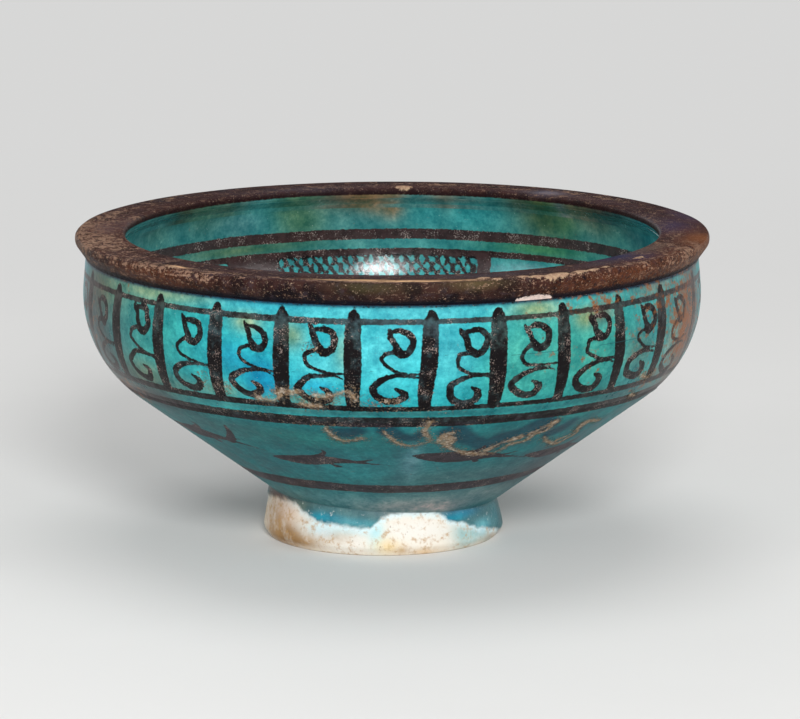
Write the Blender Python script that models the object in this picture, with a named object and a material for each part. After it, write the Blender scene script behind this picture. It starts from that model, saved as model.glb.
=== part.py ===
"""Stonepaste bowl with a conical lower wall, a rounded shoulder, a flat ledge rim and a flared foot.

Sizes are in metres, +Z is up, and the origin is on the bowl's axis at table height.
The stonepaste body is three pieces luted together with slip: the wall shell, the rim ledge and
the foot ring. Three coats of glaze cover it: one outside, one inside and a dark one on the rim.

An outline is a list of corners (radius, height, round) in the half plane beside the axis.
"Right" and "left" of an outline are as seen by someone walking along it from its first corner.
"""
import math

import bmesh
import bpy
from mathutils import Matrix, Vector

# Overall sizes, over the glaze
BOWL_HEIGHT = 0.0975
RIM_RADIUS = 0.1000

# Ledge, over the glaze
LEDGE_WIDTH = 0.0157
LEDGE_DEPTH = 0.0070
LIP_OVERHANG = 0.0033
LIP_DEPTH = 0.0027
LIP_ROUND = 0.0014
LIP_UNDER_ROUND = 0.0020

# Wall, over the glaze; the upper wall runs from the shoulder's corner to the ledge
UPPER_WALL_HEIGHT = 0.0301
WALL_LEAN = math.radians(5.0)
SHOULDER_ROUND = 0.0373
WALL_THICKNESS = 0.0083
FLOOR_THICKNESS = 0.0085
WELL_ROUND = 0.0220

# Foot ring, bare stonepaste, turned off the bowl's axis by the offset
FOOT_OFFSET = -0.0030
FOOT_HEIGHT = 0.0143
FOOT_RADIUS = 0.0364
FOOT_WIDTH = 0.0059
FOOT_RECESS = 0.0085
FOOT_BASE_ROUND = 0.0008
FLARE_OVERHANG = 0.0016
FLARE_HEIGHT = 0.0028
FLARE_ROUND = 0.0020
NECK_INSET = 0.0006
NECK_ROUND = 0.0022

# Lower edge of the outside coat, an uneven tide line below the top of the foot's neck
TIDE_DROP = 0.0049
TIDE_SWAY = 0.0012
TIDE_WAVE = 0.0018
TIDE_WAVES = 4
TIDE_CREST = math.radians(195)

# Fits
GLAZE_THICKNESS = 0.0006
COAT_GAP = 0.0003
LUTE_GAP = 0.0003
COAT = GLAZE_THICKNESS + COAT_GAP

# Facets
SEGMENTS = 48
CHORD_ERROR = 0.0002
STEP_SLACK = 0.001
SHARP_EDGE = math.radians(40)
WELD = 0.000001


# Outlines

def right_of(start, end):
    """Unit vector square to a step, on its right."""
    step = (end - start).normalized()
    return Vector((step.y, -step.x))


def parallel(outline, distance):
    """Move an outline to its right by a distance; its rounds grow or shrink with it."""
    points = [Vector(corner[:2]) for corner in outline]
    rights = [right_of(start, end) for start, end in zip(points, points[1:])]
    moved = [(*(points[0] + rights[0] * distance), 0)]
    for before, after, point, corner in zip(rights, rights[1:], points[1:], outline[1:]):
        place = point + (before + after) * distance / (1 + before.dot(after))
        turns_left = before.x * after.y > before.y * after.x
        growth = distance if turns_left else -distance
        moved.append((*place, max(0, corner[2] + growth) if corner[2] else 0))
    moved.append((*(points[-1] + rights[-1] * distance), 0))
    return moved


def at_height(start, end, height):
    """Corner at a height on the straight line through two corners."""
    share = (height - start[1]) / (end[1] - start[1])
    return (start[0] + (end[0] - start[0]) * share, height, 0)


def between(outline, first_height, last_height):
    """Trim or lengthen an outline's first and last runs so that they end at two heights."""
    first = at_height(outline[0], outline[1], first_height)
    last = at_height(outline[-2], outline[-1], last_height)
    return [first, *outline[1:-1], last]


def rounded(outline):
    """Points along an outline, with each round as an arc."""
    path = []
    for index, (radius, height, bend) in enumerate(outline):
        corner = Vector((radius, height))
        if not bend:
            path.append(corner)
            continue
        back = (Vector(outline[index - 1][:2]) - corner).normalized()
        ahead = (Vector(outline[index + 1][:2]) - corner).normalized()
        opening = back.angle(ahead)
        centre = corner + (back + ahead).normalized() * bend / math.sin(opening / 2)
        spoke = corner + back * bend / math.tan(opening / 2) - centre
        turn = math.copysign(math.pi - opening, ahead.x * back.y - ahead.y * back.x)
        widest_step = 2 * math.acos(max(0, 1 - CHORD_ERROR / bend))
        steps = max(2, math.ceil(abs(turn) / widest_step - STEP_SLACK))
        for step in range(steps + 1):
            path.append(centre + Matrix.Rotation(turn * step / steps, 2) @ spoke)
    return path


def coat_section(front, back):
    """Closed section of a coat between its glossy front and its back."""
    return rounded(front) + rounded(back)[::-1]


# Heights and lines that several pieces share

SEAT_HEIGHT = BOWL_HEIGHT - LEDGE_DEPTH
SHELL_TOP = SEAT_HEIGHT - LUTE_GAP
WELL_HEIGHT = FOOT_RECESS + FLOOR_THICKNESS
MOUTH_RADIUS = RIM_RADIUS - LEDGE_WIDTH
WALL_TOP_RADIUS = RIM_RADIUS - LIP_OVERHANG
SHOULDER_RADIUS = WALL_TOP_RADIUS + UPPER_WALL_HEIGHT * math.tan(WALL_LEAN)
SHOULDER_HEIGHT = SEAT_HEIGHT - UPPER_WALL_HEIGHT
BORE_RADIUS = FOOT_RADIUS - FOOT_WIDTH
FLARE_RADIUS = FOOT_RADIUS + FLARE_OVERHANG
NECK_RADIUS = FOOT_RADIUS - NECK_INSET
CONE_SPREAD = (SHOULDER_RADIUS - NECK_RADIUS - COAT) / (SHOULDER_HEIGHT - FOOT_HEIGHT)
NECK_TAPER = (NECK_RADIUS - FLARE_RADIUS) / (FOOT_HEIGHT - FLARE_HEIGHT)

WALL_LINE = [
    (SHOULDER_RADIUS - SHOULDER_HEIGHT * CONE_SPREAD, 0, 0),
    (SHOULDER_RADIUS, SHOULDER_HEIGHT, SHOULDER_ROUND),
    (WALL_TOP_RADIUS, SEAT_HEIGHT, 0),
]
INSIDE_TOP_RADIUS = between(parallel(WALL_LINE, -WALL_THICKNESS), 0, SEAT_HEIGHT)[-1][0]
LEDGE_LINE = [
    (WALL_TOP_RADIUS, SEAT_HEIGHT, 0),
    (RIM_RADIUS, BOWL_HEIGHT - LIP_DEPTH, LIP_UNDER_ROUND),
    (RIM_RADIUS, BOWL_HEIGHT, LIP_ROUND),
    (MOUTH_RADIUS, BOWL_HEIGHT, LIP_ROUND),
    (MOUTH_RADIUS, BOWL_HEIGHT - LIP_DEPTH, LIP_UNDER_ROUND),
    (INSIDE_TOP_RADIUS, SEAT_HEIGHT, 0),
]


def foot_shift(angle):
    """How far the foot ring stands out from the bowl's axis in one direction."""
    return FOOT_OFFSET * math.cos(angle)


def cone_height(radius, growth):
    """Height of the lower wall's cone at a radius, with the cone moved outwards."""
    low = parallel(WALL_LINE, growth)[0]
    return low[1] + (radius - low[0]) / CONE_SPREAD


def neck_top(angle, neck_growth, cone_growth):
    """Corner where the foot's neck meets the cone, with either moved outwards."""
    flare = FLARE_RADIUS + neck_growth + foot_shift(angle)
    start = cone_height(flare, cone_growth)
    height = start + (FLARE_HEIGHT - start) * NECK_TAPER / (NECK_TAPER - CONE_SPREAD)
    return (flare + NECK_TAPER * (height - FLARE_HEIGHT), height, NECK_ROUND)


def tide_drop(angle):
    """How far below the top of the neck the glaze ends in one direction."""
    along = angle - TIDE_CREST
    return TIDE_DROP - TIDE_SWAY * math.cos(along) - TIDE_WAVE * math.cos(TIDE_WAVES * along)


# Sections, one for each piece

def wall_shell_section(angle):
    outside = between(parallel(WALL_LINE, -COAT), FOOT_RECESS, SHELL_TOP)
    inside = between(parallel(WALL_LINE, COAT - WALL_THICKNESS), WELL_HEIGHT - COAT, SHELL_TOP)
    well = [(0, WELL_HEIGHT - COAT, 0), (*inside[0][:2], WELL_ROUND + COAT), *inside[1:]]
    return [Vector((0, FOOT_RECESS))] + rounded(outside) + rounded(well)[::-1]


def rim_ledge_section(angle):
    return rounded(between(parallel(LEDGE_LINE, -COAT), SEAT_HEIGHT, SEAT_HEIGHT))


def foot_ring_section(angle):
    shift = foot_shift(angle)
    seat = LUTE_GAP - COAT
    return rounded([
        (BORE_RADIUS + shift, 0, 0),
        (FOOT_RADIUS + shift, 0, FOOT_BASE_ROUND),
        (FLARE_RADIUS + shift, FLARE_HEIGHT, FLARE_ROUND),
        (*neck_top(angle, 0, seat)[:2], 0),
        (BORE_RADIUS + shift, cone_height(BORE_RADIUS + shift, seat), 0),
    ])


def outer_glaze_section(angle):
    corner = neck_top(angle, COAT, 0)
    flare = (FLARE_RADIUS + COAT + foot_shift(angle), FLARE_HEIGHT, 0)
    line = [flare, corner, *WALL_LINE[1:]]
    tide = corner[1] - tide_drop(angle)
    front = between(line, tide, SHELL_TOP)
    back = between(parallel(line, -GLAZE_THICKNESS), tide, SHELL_TOP)
    return coat_section(front, back)


def inner_glaze_section(angle):
    faces = []
    for depth in (0, GLAZE_THICKNESS):
        wall = between(parallel(WALL_LINE, depth - WALL_THICKNESS), WELL_HEIGHT - depth, SHELL_TOP)
        well = (*wall[0][:2], WELL_ROUND + depth)
        faces.append([(0, WELL_HEIGHT - depth, 0), well, *wall[1:]])
    front, back = faces
    return coat_section(front, back)[::-1]


def rim_glaze_section(angle):
    back = between(parallel(LEDGE_LINE, -GLAZE_THICKNESS), SEAT_HEIGHT, SEAT_HEIGHT)
    return coat_section(LEDGE_LINE, back)


# Making the objects

def finish(name, colour, roughness):
    """Principled material of one piece."""
    material = bpy.data.materials.new(name)
    material.use_nodes = True
    shader = material.node_tree.nodes["Principled BSDF"]
    shader.inputs["Base Color"].default_value = (*colour, 1)
    shader.inputs["Roughness"].default_value = roughness
    shader.inputs["Metallic"].default_value = 0
    return material


def revolve(name, section_at, material):
    """Carry a piece's section once round the axis and close it into one body."""
    shape = bmesh.new()
    rings = []
    for step in range(SEGMENTS):
        angle = 2 * math.pi * step / SEGMENTS
        turn = Matrix.Rotation(angle, 3, "Z")
        rings.append([shape.verts.new(turn @ Vector((r, 0, z))) for r, z in section_at(angle)])
    for ring, following in zip(rings, rings[1:] + rings[:1]):
        meets_axis = ring[0].co.xy.length < WELD
        first = 1 if meets_axis else 0
        for index in range(first, len(ring)):
            shape.faces.new((ring[index - 1], ring[index], following[index], following[index - 1]))
    bmesh.ops.remove_doubles(shape, verts=shape.verts, dist=WELD)
    bmesh.ops.recalc_face_normals(shape, faces=shape.faces)
    mesh = bpy.data.meshes.new(name)
    shape.to_mesh(mesh)
    shape.free()
    mesh.shade_smooth()
    mesh.set_sharp_from_angle(angle=SHARP_EDGE)
    mesh.materials.append(material)
    piece = bpy.data.objects.new(name, mesh)
    bpy.context.scene.collection.objects.link(piece)
    return piece


def build():
    for leftover in list(bpy.data.objects):
        bpy.data.objects.remove(leftover)
    stonepaste = (0.78, 0.70, 0.58)
    turquoise = (0.030, 0.340, 0.360)
    manganese = (0.040, 0.024, 0.022)
    revolve("wall_shell", wall_shell_section, finish("wall_stonepaste", stonepaste, 0.85))
    revolve("rim_ledge", rim_ledge_section, finish("ledge_stonepaste", stonepaste, 0.85))
    revolve("foot_ring", foot_ring_section, finish("foot_stonepaste", stonepaste, 0.85))
    revolve("outer_glaze", outer_glaze_section, finish("outside_turquoise", turquoise, 0.25))
    revolve("inner_glaze", inner_glaze_section, finish("inside_turquoise", turquoise, 0.25))
    revolve("rim_glaze", rim_glaze_section, finish("rim_manganese", manganese, 0.30))


build()
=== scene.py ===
# %% [markdown]
# # A painted stonepaste bowl
#
# The real bowl is white, quartz-rich stonepaste. A brush laid black and brown pigment on it, and a thin
# turquoise glaze was fired over the painting. The measured part gives the body and its coats as plain
# solids. This lesson turns fine-grained coats for them, paints the coats and lights them.

# %% Load the measured part
import math

import bmesh
import bpy
import numpy as np
from mathutils import Matrix, Vector


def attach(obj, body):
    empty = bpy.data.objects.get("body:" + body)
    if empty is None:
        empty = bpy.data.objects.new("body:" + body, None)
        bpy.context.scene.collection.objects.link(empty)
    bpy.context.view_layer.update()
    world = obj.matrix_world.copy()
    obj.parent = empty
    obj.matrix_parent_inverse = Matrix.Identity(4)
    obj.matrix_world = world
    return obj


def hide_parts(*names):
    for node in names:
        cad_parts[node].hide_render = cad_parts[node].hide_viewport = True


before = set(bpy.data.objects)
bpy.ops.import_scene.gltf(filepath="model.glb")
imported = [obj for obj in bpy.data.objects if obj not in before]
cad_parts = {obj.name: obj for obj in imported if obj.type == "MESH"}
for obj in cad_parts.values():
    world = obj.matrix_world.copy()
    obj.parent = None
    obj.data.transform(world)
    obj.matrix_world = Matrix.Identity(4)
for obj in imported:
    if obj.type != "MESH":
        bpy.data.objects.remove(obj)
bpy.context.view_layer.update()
bpy.context.scene.view_settings.view_transform = "Standard"
print("nodes:", sorted(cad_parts))

# %% [markdown]
# ## The camera
#
# A long lens far away draws the rim as a narrow ellipse, as the photograph shows it. The ellipse's height
# against its width gives the camera's elevation, so the camera comes first and everything else is judged
# through it. The same numbers also find the place on the bowl that a pixel of the photograph shows.

# %% Camera
PHOTO_SIZE = (800, 719)
FOCAL_PIXELS = 5062
SENSOR_WIDTH = 36.0
CAMERA_DISTANCE = 1.6
CAMERA_ELEVATION = math.radians(9.3)
CAMERA_TILT = math.radians(10.776)
CAMERA_PAN = math.radians(0.0906)
BOWL_HEIGHT = 0.0975

camera_place = Vector((
    0,
    -CAMERA_DISTANCE * math.cos(CAMERA_ELEVATION),
    BOWL_HEIGHT + CAMERA_DISTANCE * math.sin(CAMERA_ELEVATION),
))
bpy.ops.object.select_all(action="DESELECT")
bpy.ops.object.camera_add(location=camera_place)
camera = bpy.context.object
camera.rotation_euler = (math.pi / 2 - CAMERA_TILT, 0, -CAMERA_PAN)
camera.data.sensor_width = SENSOR_WIDTH
camera.data.lens = FOCAL_PIXELS * SENSOR_WIDTH / PHOTO_SIZE[0]
bpy.context.scene.camera = camera
camera_turn = np.array(camera.rotation_euler.to_matrix())


def pixel_of(spots):
    """Pixel of the photograph at which the camera sees each spot, given in metres."""
    view = (spots - np.array(camera_place)) @ camera_turn
    across = PHOTO_SIZE[0] / 2 - FOCAL_PIXELS * view[:, 0] / view[:, 2]
    down = PHOTO_SIZE[1] / 2 + FOCAL_PIXELS * view[:, 1] / view[:, 2]
    return np.column_stack([across, down])


print("rim centre at pixel", pixel_of(np.array([[0, 0, BOWL_HEIGHT]])).round(1))

# %% [markdown]
# ## The sizes
#
# These are the measured part's own sizes, over the glaze. A coat that is turned from them lies where the
# part's coat lies, so nothing has to be fitted by eye.

# %% Sizes of the bowl
MM = 0.001
RIM_RADIUS = 0.1000
LEDGE_WIDTH = 0.0157
LEDGE_DEPTH = 0.0070
LIP_OVERHANG = 0.0033
LIP_DEPTH = 0.0027
LIP_ROUND = 0.0014
LIP_UNDER_ROUND = 0.0020
UPPER_WALL_HEIGHT = 0.0301
WALL_LEAN = math.radians(5.0)
SHOULDER_ROUND = 0.0373
WALL_THICKNESS = 0.0083
FLOOR_HEIGHT = 0.0170
WELL_ROUND = 0.0220
FOOT_OFFSET = -0.0030
FOOT_HEIGHT = 0.0143
FOOT_RADIUS = 0.0364
FOOT_WIDTH = 0.0059
FOOT_BASE_ROUND = 0.0008
FLARE_RADIUS = 0.0380
FLARE_HEIGHT = 0.0028
FLARE_ROUND = 0.0020
NECK_RADIUS = 0.0358
NECK_ROUND = 0.0022
GLAZE_THICKNESS = 0.0006
COAT = 0.0009
JOINT_GAP = 0.0003

SEAT_HEIGHT = BOWL_HEIGHT - LEDGE_DEPTH
WALL_TOP_RADIUS = RIM_RADIUS - LIP_OVERHANG
MOUTH_RADIUS = RIM_RADIUS - LEDGE_WIDTH
SHOULDER_RADIUS = WALL_TOP_RADIUS + UPPER_WALL_HEIGHT * math.tan(WALL_LEAN)
SHOULDER_HEIGHT = SEAT_HEIGHT - UPPER_WALL_HEIGHT
CONE_SPREAD = (SHOULDER_RADIUS - NECK_RADIUS - COAT) / (SHOULDER_HEIGHT - FOOT_HEIGHT)


def cone_height(radius):
    """Height of the glazed lower wall at a radius."""
    return SHOULDER_HEIGHT - (SHOULDER_RADIUS - radius) / CONE_SPREAD


print("cone slope", round(math.degrees(math.atan(1 / CONE_SPREAD)), 2), "degrees")

# %% [markdown]
# ## Outlines
#
# A potter's rib has straight runs and round corners, and so has each outline here. An outline is a list of
# corners (radius, height, round). It is first drawn as a smooth path, then cut into steps of one length,
# because even steps carry the painting evenly.

# %% Draw and divide an outline
ARC_STEPS = 40


def drawn(outline):
    """Points along an outline, each round as an arc."""
    path = []
    for index, (radius, height, bend) in enumerate(outline):
        corner = Vector((radius, height))
        if not bend:
            path.append(tuple(corner))
            continue
        back = (Vector(outline[index - 1][:2]) - corner).normalized()
        ahead = (Vector(outline[index + 1][:2]) - corner).normalized()
        opening = back.angle(ahead)
        centre = corner + (back + ahead).normalized() * bend / math.sin(opening / 2)
        spoke = corner + back * bend / math.tan(opening / 2) - centre
        turn = math.copysign(math.pi - opening, ahead.x * back.y - ahead.y * back.x) / ARC_STEPS
        path += [tuple(centre + Matrix.Rotation(turn * step, 2) @ spoke) for step in range(ARC_STEPS + 1)]
    return np.array(path)


def marks_along(path):
    """Distance of each point from the path's start."""
    return np.concatenate([[0], np.cumsum(np.hypot(*np.diff(path, axis=0).T))])


def cut_even(path, spacing, start=0, end=None):
    """Even steps along a path between two distances from its start."""
    marks = marks_along(path)
    end = marks[-1] if end is None else end
    wanted = np.linspace(start, end, max(2, round((end - start) / spacing) + 1))
    return np.column_stack([np.interp(wanted, marks, column) for column in path.T])


def beside(path, distance):
    """The same path moved to its right; a negative distance moves it to its left."""
    step = np.gradient(path, axis=0)
    step /= np.hypot(*step.T)[:, None]
    return path + distance * np.column_stack([step[:, 1], -step[:, 0]])


# %% The bowl's outlines
INNER_LEAN = math.tan(WALL_LEAN)
OUTSIDE_END_RADIUS = 0.0342
COVE_START = 0.0010
RIM_LAP = 0.0002
LAP_PROUD = 0.00030
LAP_ROUND = 0.0004
COVE_PROUD = 0.00012
COVE_ROUND = 0.0070
wall_path = drawn([
    (WALL_TOP_RADIUS + JOINT_GAP * INNER_LEAN, SEAT_HEIGHT - JOINT_GAP, 0),
    (SHOULDER_RADIUS, SHOULDER_HEIGHT, SHOULDER_ROUND),
    (OUTSIDE_END_RADIUS, cone_height(OUTSIDE_END_RADIUS), 0),
])
wall_normal = Vector((1, INNER_LEAN)).normalized()
cone_normal = Vector((1, -CONE_SPREAD)).normalized()
corner_move = (wall_normal + cone_normal) * WALL_THICKNESS / (1 + wall_normal.dot(cone_normal))
INNER_SHOULDER = Vector((SHOULDER_RADIUS, SHOULDER_HEIGHT)) - corner_move
INSIDE_TOP_RADIUS = INNER_SHOULDER.x - (SEAT_HEIGHT - JOINT_GAP - INNER_SHOULDER.y) * INNER_LEAN
WELL_RADIUS = INNER_SHOULDER.x - (INNER_SHOULDER.y - FLOOR_HEIGHT) * CONE_SPREAD
lip_corner = Vector((MOUTH_RADIUS, BOWL_HEIGHT - LIP_DEPTH))
under_lip = (Vector((INSIDE_TOP_RADIUS, SEAT_HEIGHT)) - lip_corner).normalized()
cove_start = lip_corner + under_lip * COVE_START - Vector((-under_lip.y, under_lip.x)) * COVE_PROUD
inside_path = drawn([
    (*cove_start, 0),
    (INSIDE_TOP_RADIUS, SEAT_HEIGHT, COVE_ROUND),
    (*INNER_SHOULDER, SHOULDER_ROUND - WALL_THICKNESS),
    (WELL_RADIUS, FLOOR_HEIGHT, WELL_ROUND),
    (0, FLOOR_HEIGHT, 0),
])
rim_path = drawn([
    (WALL_TOP_RADIUS + LAP_PROUD, SEAT_HEIGHT - RIM_LAP, 0),
    (WALL_TOP_RADIUS + LAP_PROUD, SEAT_HEIGHT, LAP_ROUND),
    (RIM_RADIUS, BOWL_HEIGHT - LIP_DEPTH, LIP_UNDER_ROUND),
    (RIM_RADIUS, BOWL_HEIGHT, LIP_ROUND),
    (MOUTH_RADIUS, BOWL_HEIGHT, LIP_ROUND),
    (MOUTH_RADIUS, BOWL_HEIGHT - LIP_DEPTH, LIP_UNDER_ROUND),
    (INSIDE_TOP_RADIUS, SEAT_HEIGHT, 0),
])
print("wall path", marks_along(wall_path)[-1].round(4), "inside path", marks_along(inside_path)[-1].round(4))

# %% [markdown]
# ## Turning on the wheel
#
# A turned pot is one section carried round an axis. The section is drawn as a maker draws a line in
# Blender: a primitive is merged to one point, and the point is extruded step by step. A Screw modifier
# then carries it once round, which is quicker than the Spin operator for a thousand steps. Each point of
# the section remembers how far along the outline it is, and the modifier hands that to every copy.

# %% Numbers kept on a piece
def read_spots(piece):
    """Places of a piece's points, in metres."""
    flat = np.empty(len(piece.data.vertices) * 3)
    piece.data.vertices.foreach_get("co", flat)
    return flat.reshape(-1, 3)


def move_spots(piece, spots):
    """Put a piece's points at new places, in metres."""
    piece.data.vertices.foreach_set("co", spots.ravel())
    piece.data.update()


def store(piece, name, values):
    """Keep one number, or one colour, for each point of a piece."""
    kind, field = ("FLOAT", "value") if values.ndim == 1 else ("FLOAT_COLOR", "color")
    layer = piece.data.attributes.get(name) or piece.data.attributes.new(name, kind, "POINT")
    if values.ndim == 2:
        values = np.column_stack([values, np.ones(len(values))])
    layer.data.foreach_set(field, np.ascontiguousarray(values, dtype=np.float32).ravel())


def read_marks(piece):
    """How far along its outline each point lies, in millimetres."""
    marks = np.empty(len(piece.data.vertices), dtype=np.float32)
    piece.data.attributes["along"].data.foreach_get("value", marks)
    return marks.astype(float)


# %% Faces that point outwards
WELD = 0.000001
SHARP_EDGE = math.radians(40)


def face_outwards(piece):
    """Turn a closed piece's selected faces outwards; a thin fold can mislead the operator alone."""
    bpy.ops.mesh.normals_make_consistent(inside=False)
    if bmesh.from_edit_mesh(piece.data).calc_volume(signed=True) < 0:
        bpy.ops.mesh.flip_normals()


def close_up(piece):
    """Face all sides outwards and shade them smooth, with sharp edges kept."""
    bpy.ops.object.select_all(action="DESELECT")
    piece.select_set(True)
    bpy.context.view_layer.objects.active = piece
    bpy.ops.object.mode_set(mode="EDIT")
    bpy.ops.mesh.select_all(action="SELECT")
    bpy.ops.mesh.remove_doubles(threshold=WELD)
    face_outwards(piece)
    bpy.ops.object.mode_set(mode="OBJECT")
    bpy.ops.object.shade_smooth_by_angle(angle=SHARP_EDGE)


# %% Turn a section
BACK_STRIDE = 8
HIDDEN = -1.0


def coat_section(front, thickness):
    """Section of a coat: its fine front, then a coarse back that lies inside it."""
    back = beside(front, thickness)
    keep = sorted({*range(0, len(back), BACK_STRIDE), len(back) - 1}, reverse=True)
    return np.concatenate([front, back[keep]])


def turn_piece(name, section, front_marks, steps, closed=True):
    """Extrude a section point by point and carry it once round the bowl's axis."""
    bpy.ops.object.select_all(action="DESELECT")
    bpy.ops.mesh.primitive_plane_add(size=MM)
    piece = bpy.context.object
    piece.name = piece.data.name = name
    bpy.ops.object.mode_set(mode="EDIT")
    bpy.ops.mesh.select_all(action="SELECT")
    bpy.ops.mesh.merge(type="CENTER")
    bpy.ops.transform.translate(value=(section[0][0], 0, section[0][1]))
    ring = np.concatenate([section, section[:1]]) if closed else section
    for move in np.diff(ring, axis=0):
        bpy.ops.mesh.extrude_region_move(TRANSFORM_OT_translate={"value": (move[0], 0, move[1])})
    bpy.ops.mesh.select_all(action="SELECT")
    bpy.ops.mesh.remove_doubles(threshold=WELD)
    bpy.ops.object.mode_set(mode="OBJECT")
    marks = np.concatenate([front_marks, np.full(len(section) - len(front_marks), HIDDEN)])
    spots = read_spots(piece)[:, [0, 2]]
    nearest = [int(np.argmin(np.hypot(*(section - spot).T))) for spot in spots]
    store(piece, "along", marks[nearest])
    wheel = piece.modifiers.new("wheel", "SCREW")
    wheel.axis = "Z"
    wheel.steps = wheel.render_steps = steps
    wheel.use_merge_vertices = True
    wheel.merge_threshold = WELD
    bpy.ops.object.modifier_apply(modifier=wheel.name)
    bpy.ops.object.mode_set(mode="EDIT")
    bpy.ops.mesh.select_all(action="SELECT")
    face_outwards(piece)
    bpy.ops.object.mode_set(mode="OBJECT")
    return piece


# %% [markdown]
# ## The coats
#
# The outside coat carries the finest painting, so it is turned in two pieces: a frieze piece with half
# millimetre steps and a cone piece with coarser ones. They meet under the thick dark band, where no eye
# can find the joint. The rim and the inside each have a coat of their own.

# %% Turn the coats
FRIEZE_STEP = 0.00054
FRIEZE_TURNS = 1120
CONE_STEP = 0.00080
CONE_TURNS = 880
RIM_STEP = 0.00045
RIM_TURNS = 720
INSIDE_STEP = 0.00085
INSIDE_TURNS = 560
THICK_BAND_ROWS = (418.5, 427.5)


def wall_mark_at_row(row):
    """Distance down the wall, in metres, that the photograph shows at a pixel row in the middle."""
    front = np.column_stack([np.zeros(len(wall_path)), -wall_path[:, 0], wall_path[:, 1]])
    return np.interp(row, pixel_of(front)[:, 1], marks_along(wall_path))


def turn_coat(name, path, start, end, spacing, turns, thickness):
    """Turn a coat that covers a path between two distances from its start."""
    front = cut_even(path, spacing, start, end)
    marks = np.linspace(start, end, len(front)) / MM
    return turn_piece(name, coat_section(front, thickness), marks, turns)


band_mark = wall_mark_at_row(sum(THICK_BAND_ROWS) / 2)
wall_end = marks_along(wall_path)[-1]
frieze = turn_coat("frieze_glaze", wall_path, 0, band_mark, FRIEZE_STEP, FRIEZE_TURNS, GLAZE_THICKNESS)
cone = turn_coat("cone_glaze", wall_path, band_mark, wall_end, CONE_STEP, CONE_TURNS, GLAZE_THICKNESS)
rim = turn_coat("rim_coat", rim_path, 0, marks_along(rim_path)[-1], RIM_STEP, RIM_TURNS, -GLAZE_THICKNESS)
inside_front = cut_even(inside_path, INSIDE_STEP)
inside_marks = np.linspace(0, marks_along(inside_path)[-1], len(inside_front)) / MM
inside_back = beside(inside_front, -GLAZE_THICKNESS)
inside_back[-1, 0] = 0
inside_section = np.concatenate([inside_front[::-1], inside_back[::BACK_STRIDE], inside_back[-1:]])
inside = turn_piece("inner_coat", inside_section, inside_marks[::-1], INSIDE_TURNS, closed=False)
for coat in (frieze, cone, rim, inside):
    print(coat.name, len(coat.data.vertices), "points")

# %% [markdown]
# ## The foot
#
# The foot ring was turned separately and set about 3 mm to one side, so its neck meets the cone higher on
# one side than on the other. It is turned on the axis, then moved across, and the part above its flare is
# stretched until its top fillet lies on the cone. Where glaze ran down on the neck it stands a little
# proud, so the uneven edge of the glaze is real relief.

# %% Turn and set the foot
FOOT_STEP = 0.00045
FOOT_TURNS = 560
FILLET_RUN = 0.0016
FILLET_SINK = 0.00040
BORE_STEPS = (0.66, 0.33)

neck_corner = (NECK_RADIUS, FOOT_HEIGHT - COAT / CONE_SPREAD, NECK_ROUND)
fillet_end = NECK_RADIUS + FILLET_RUN
foot_path = drawn([
    (FOOT_RADIUS - FOOT_WIDTH, 0, 0),
    (FOOT_RADIUS, 0, FOOT_BASE_ROUND),
    (FLARE_RADIUS, FLARE_HEIGHT, FLARE_ROUND),
    neck_corner,
    (fillet_end, cone_height(fillet_end) + FILLET_SINK, 0),
])
foot_front = cut_even(foot_path, FOOT_STEP)
foot_marks = np.linspace(0, marks_along(foot_path)[-1], len(foot_front)) / MM
bore = FOOT_RADIUS - FOOT_WIDTH
foot_back = np.array([
    (bore + COAT, cone_height(bore) - COAT),
    (bore, cone_height(bore) - COAT),
    *((bore, share * cone_height(bore)) for share in BORE_STEPS),
])
foot = turn_piece("glazed_foot", np.concatenate([foot_front, foot_back]), foot_marks, FOOT_TURNS)


def set_foot(piece):
    """Move the foot to its place beside the axis and stretch its neck up to the cone."""
    spots = read_spots(piece)
    spots[:, 0] += FOOT_OFFSET
    own = np.hypot(spots[:, 0] - FOOT_OFFSET, spots[:, 1])
    shift = np.hypot(spots[:, 0], spots[:, 1]) - own
    reach = np.clip((spots[:, 2] - FLARE_HEIGHT) / (neck_corner[1] - FLARE_HEIGHT), 0, 1)
    spots[:, 2] += reach * shift / CONE_SPREAD
    move_spots(piece, spots)


set_foot(foot)
print("foot points", len(foot.data.vertices))

# %% [markdown]
# ## A brush for the painting
#
# The painting has loose brush strokes that swell and thin. A picture of them would need an image, so each
# stroke is kept as a line with a half width, and every point of the coat is told how deep it lies inside
# the nearest stroke. The material later cuts that depth at zero and frays the edge with noise. The depth
# changes evenly between points, so the painted edge stays sharp at any distance.

# %% Brush strokes
FAR = 9.0
CURVE_STEPS = 6
FINEST_HAIR = 0.05
SHORTEST_RUN = 1e-9


def smooth_step(values, low, high):
    """Rise from 0 at low to 1 at high, gently at both ends."""
    share = np.clip((values - low) / (high - low), 0, 1)
    return share * share * (3 - 2 * share)


def smooth_line(points):
    """A smooth line through a stroke's points (across, down, half width)."""
    points = np.array(points, dtype=float)
    if len(points) < 3:
        return points
    ends = np.concatenate([2 * points[:1] - points[1:2], points, 2 * points[-1:] - points[-2:-1]])
    line = []
    for before, first, last, after in zip(ends, ends[1:], ends[2:], ends[3:]):
        for share in np.arange(CURVE_STEPS) / CURVE_STEPS:
            bend = 2 * before - 5 * first + 4 * last - after
            twist = 3 * first - before - 3 * last + after
            line.append(first + 0.5 * share * (last - before + share * (bend + share * twist)))
    line.append(points[-1])
    line = np.array(line)
    line[:, 2] = np.maximum(line[:, 2], FINEST_HAIR)
    return line


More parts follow.
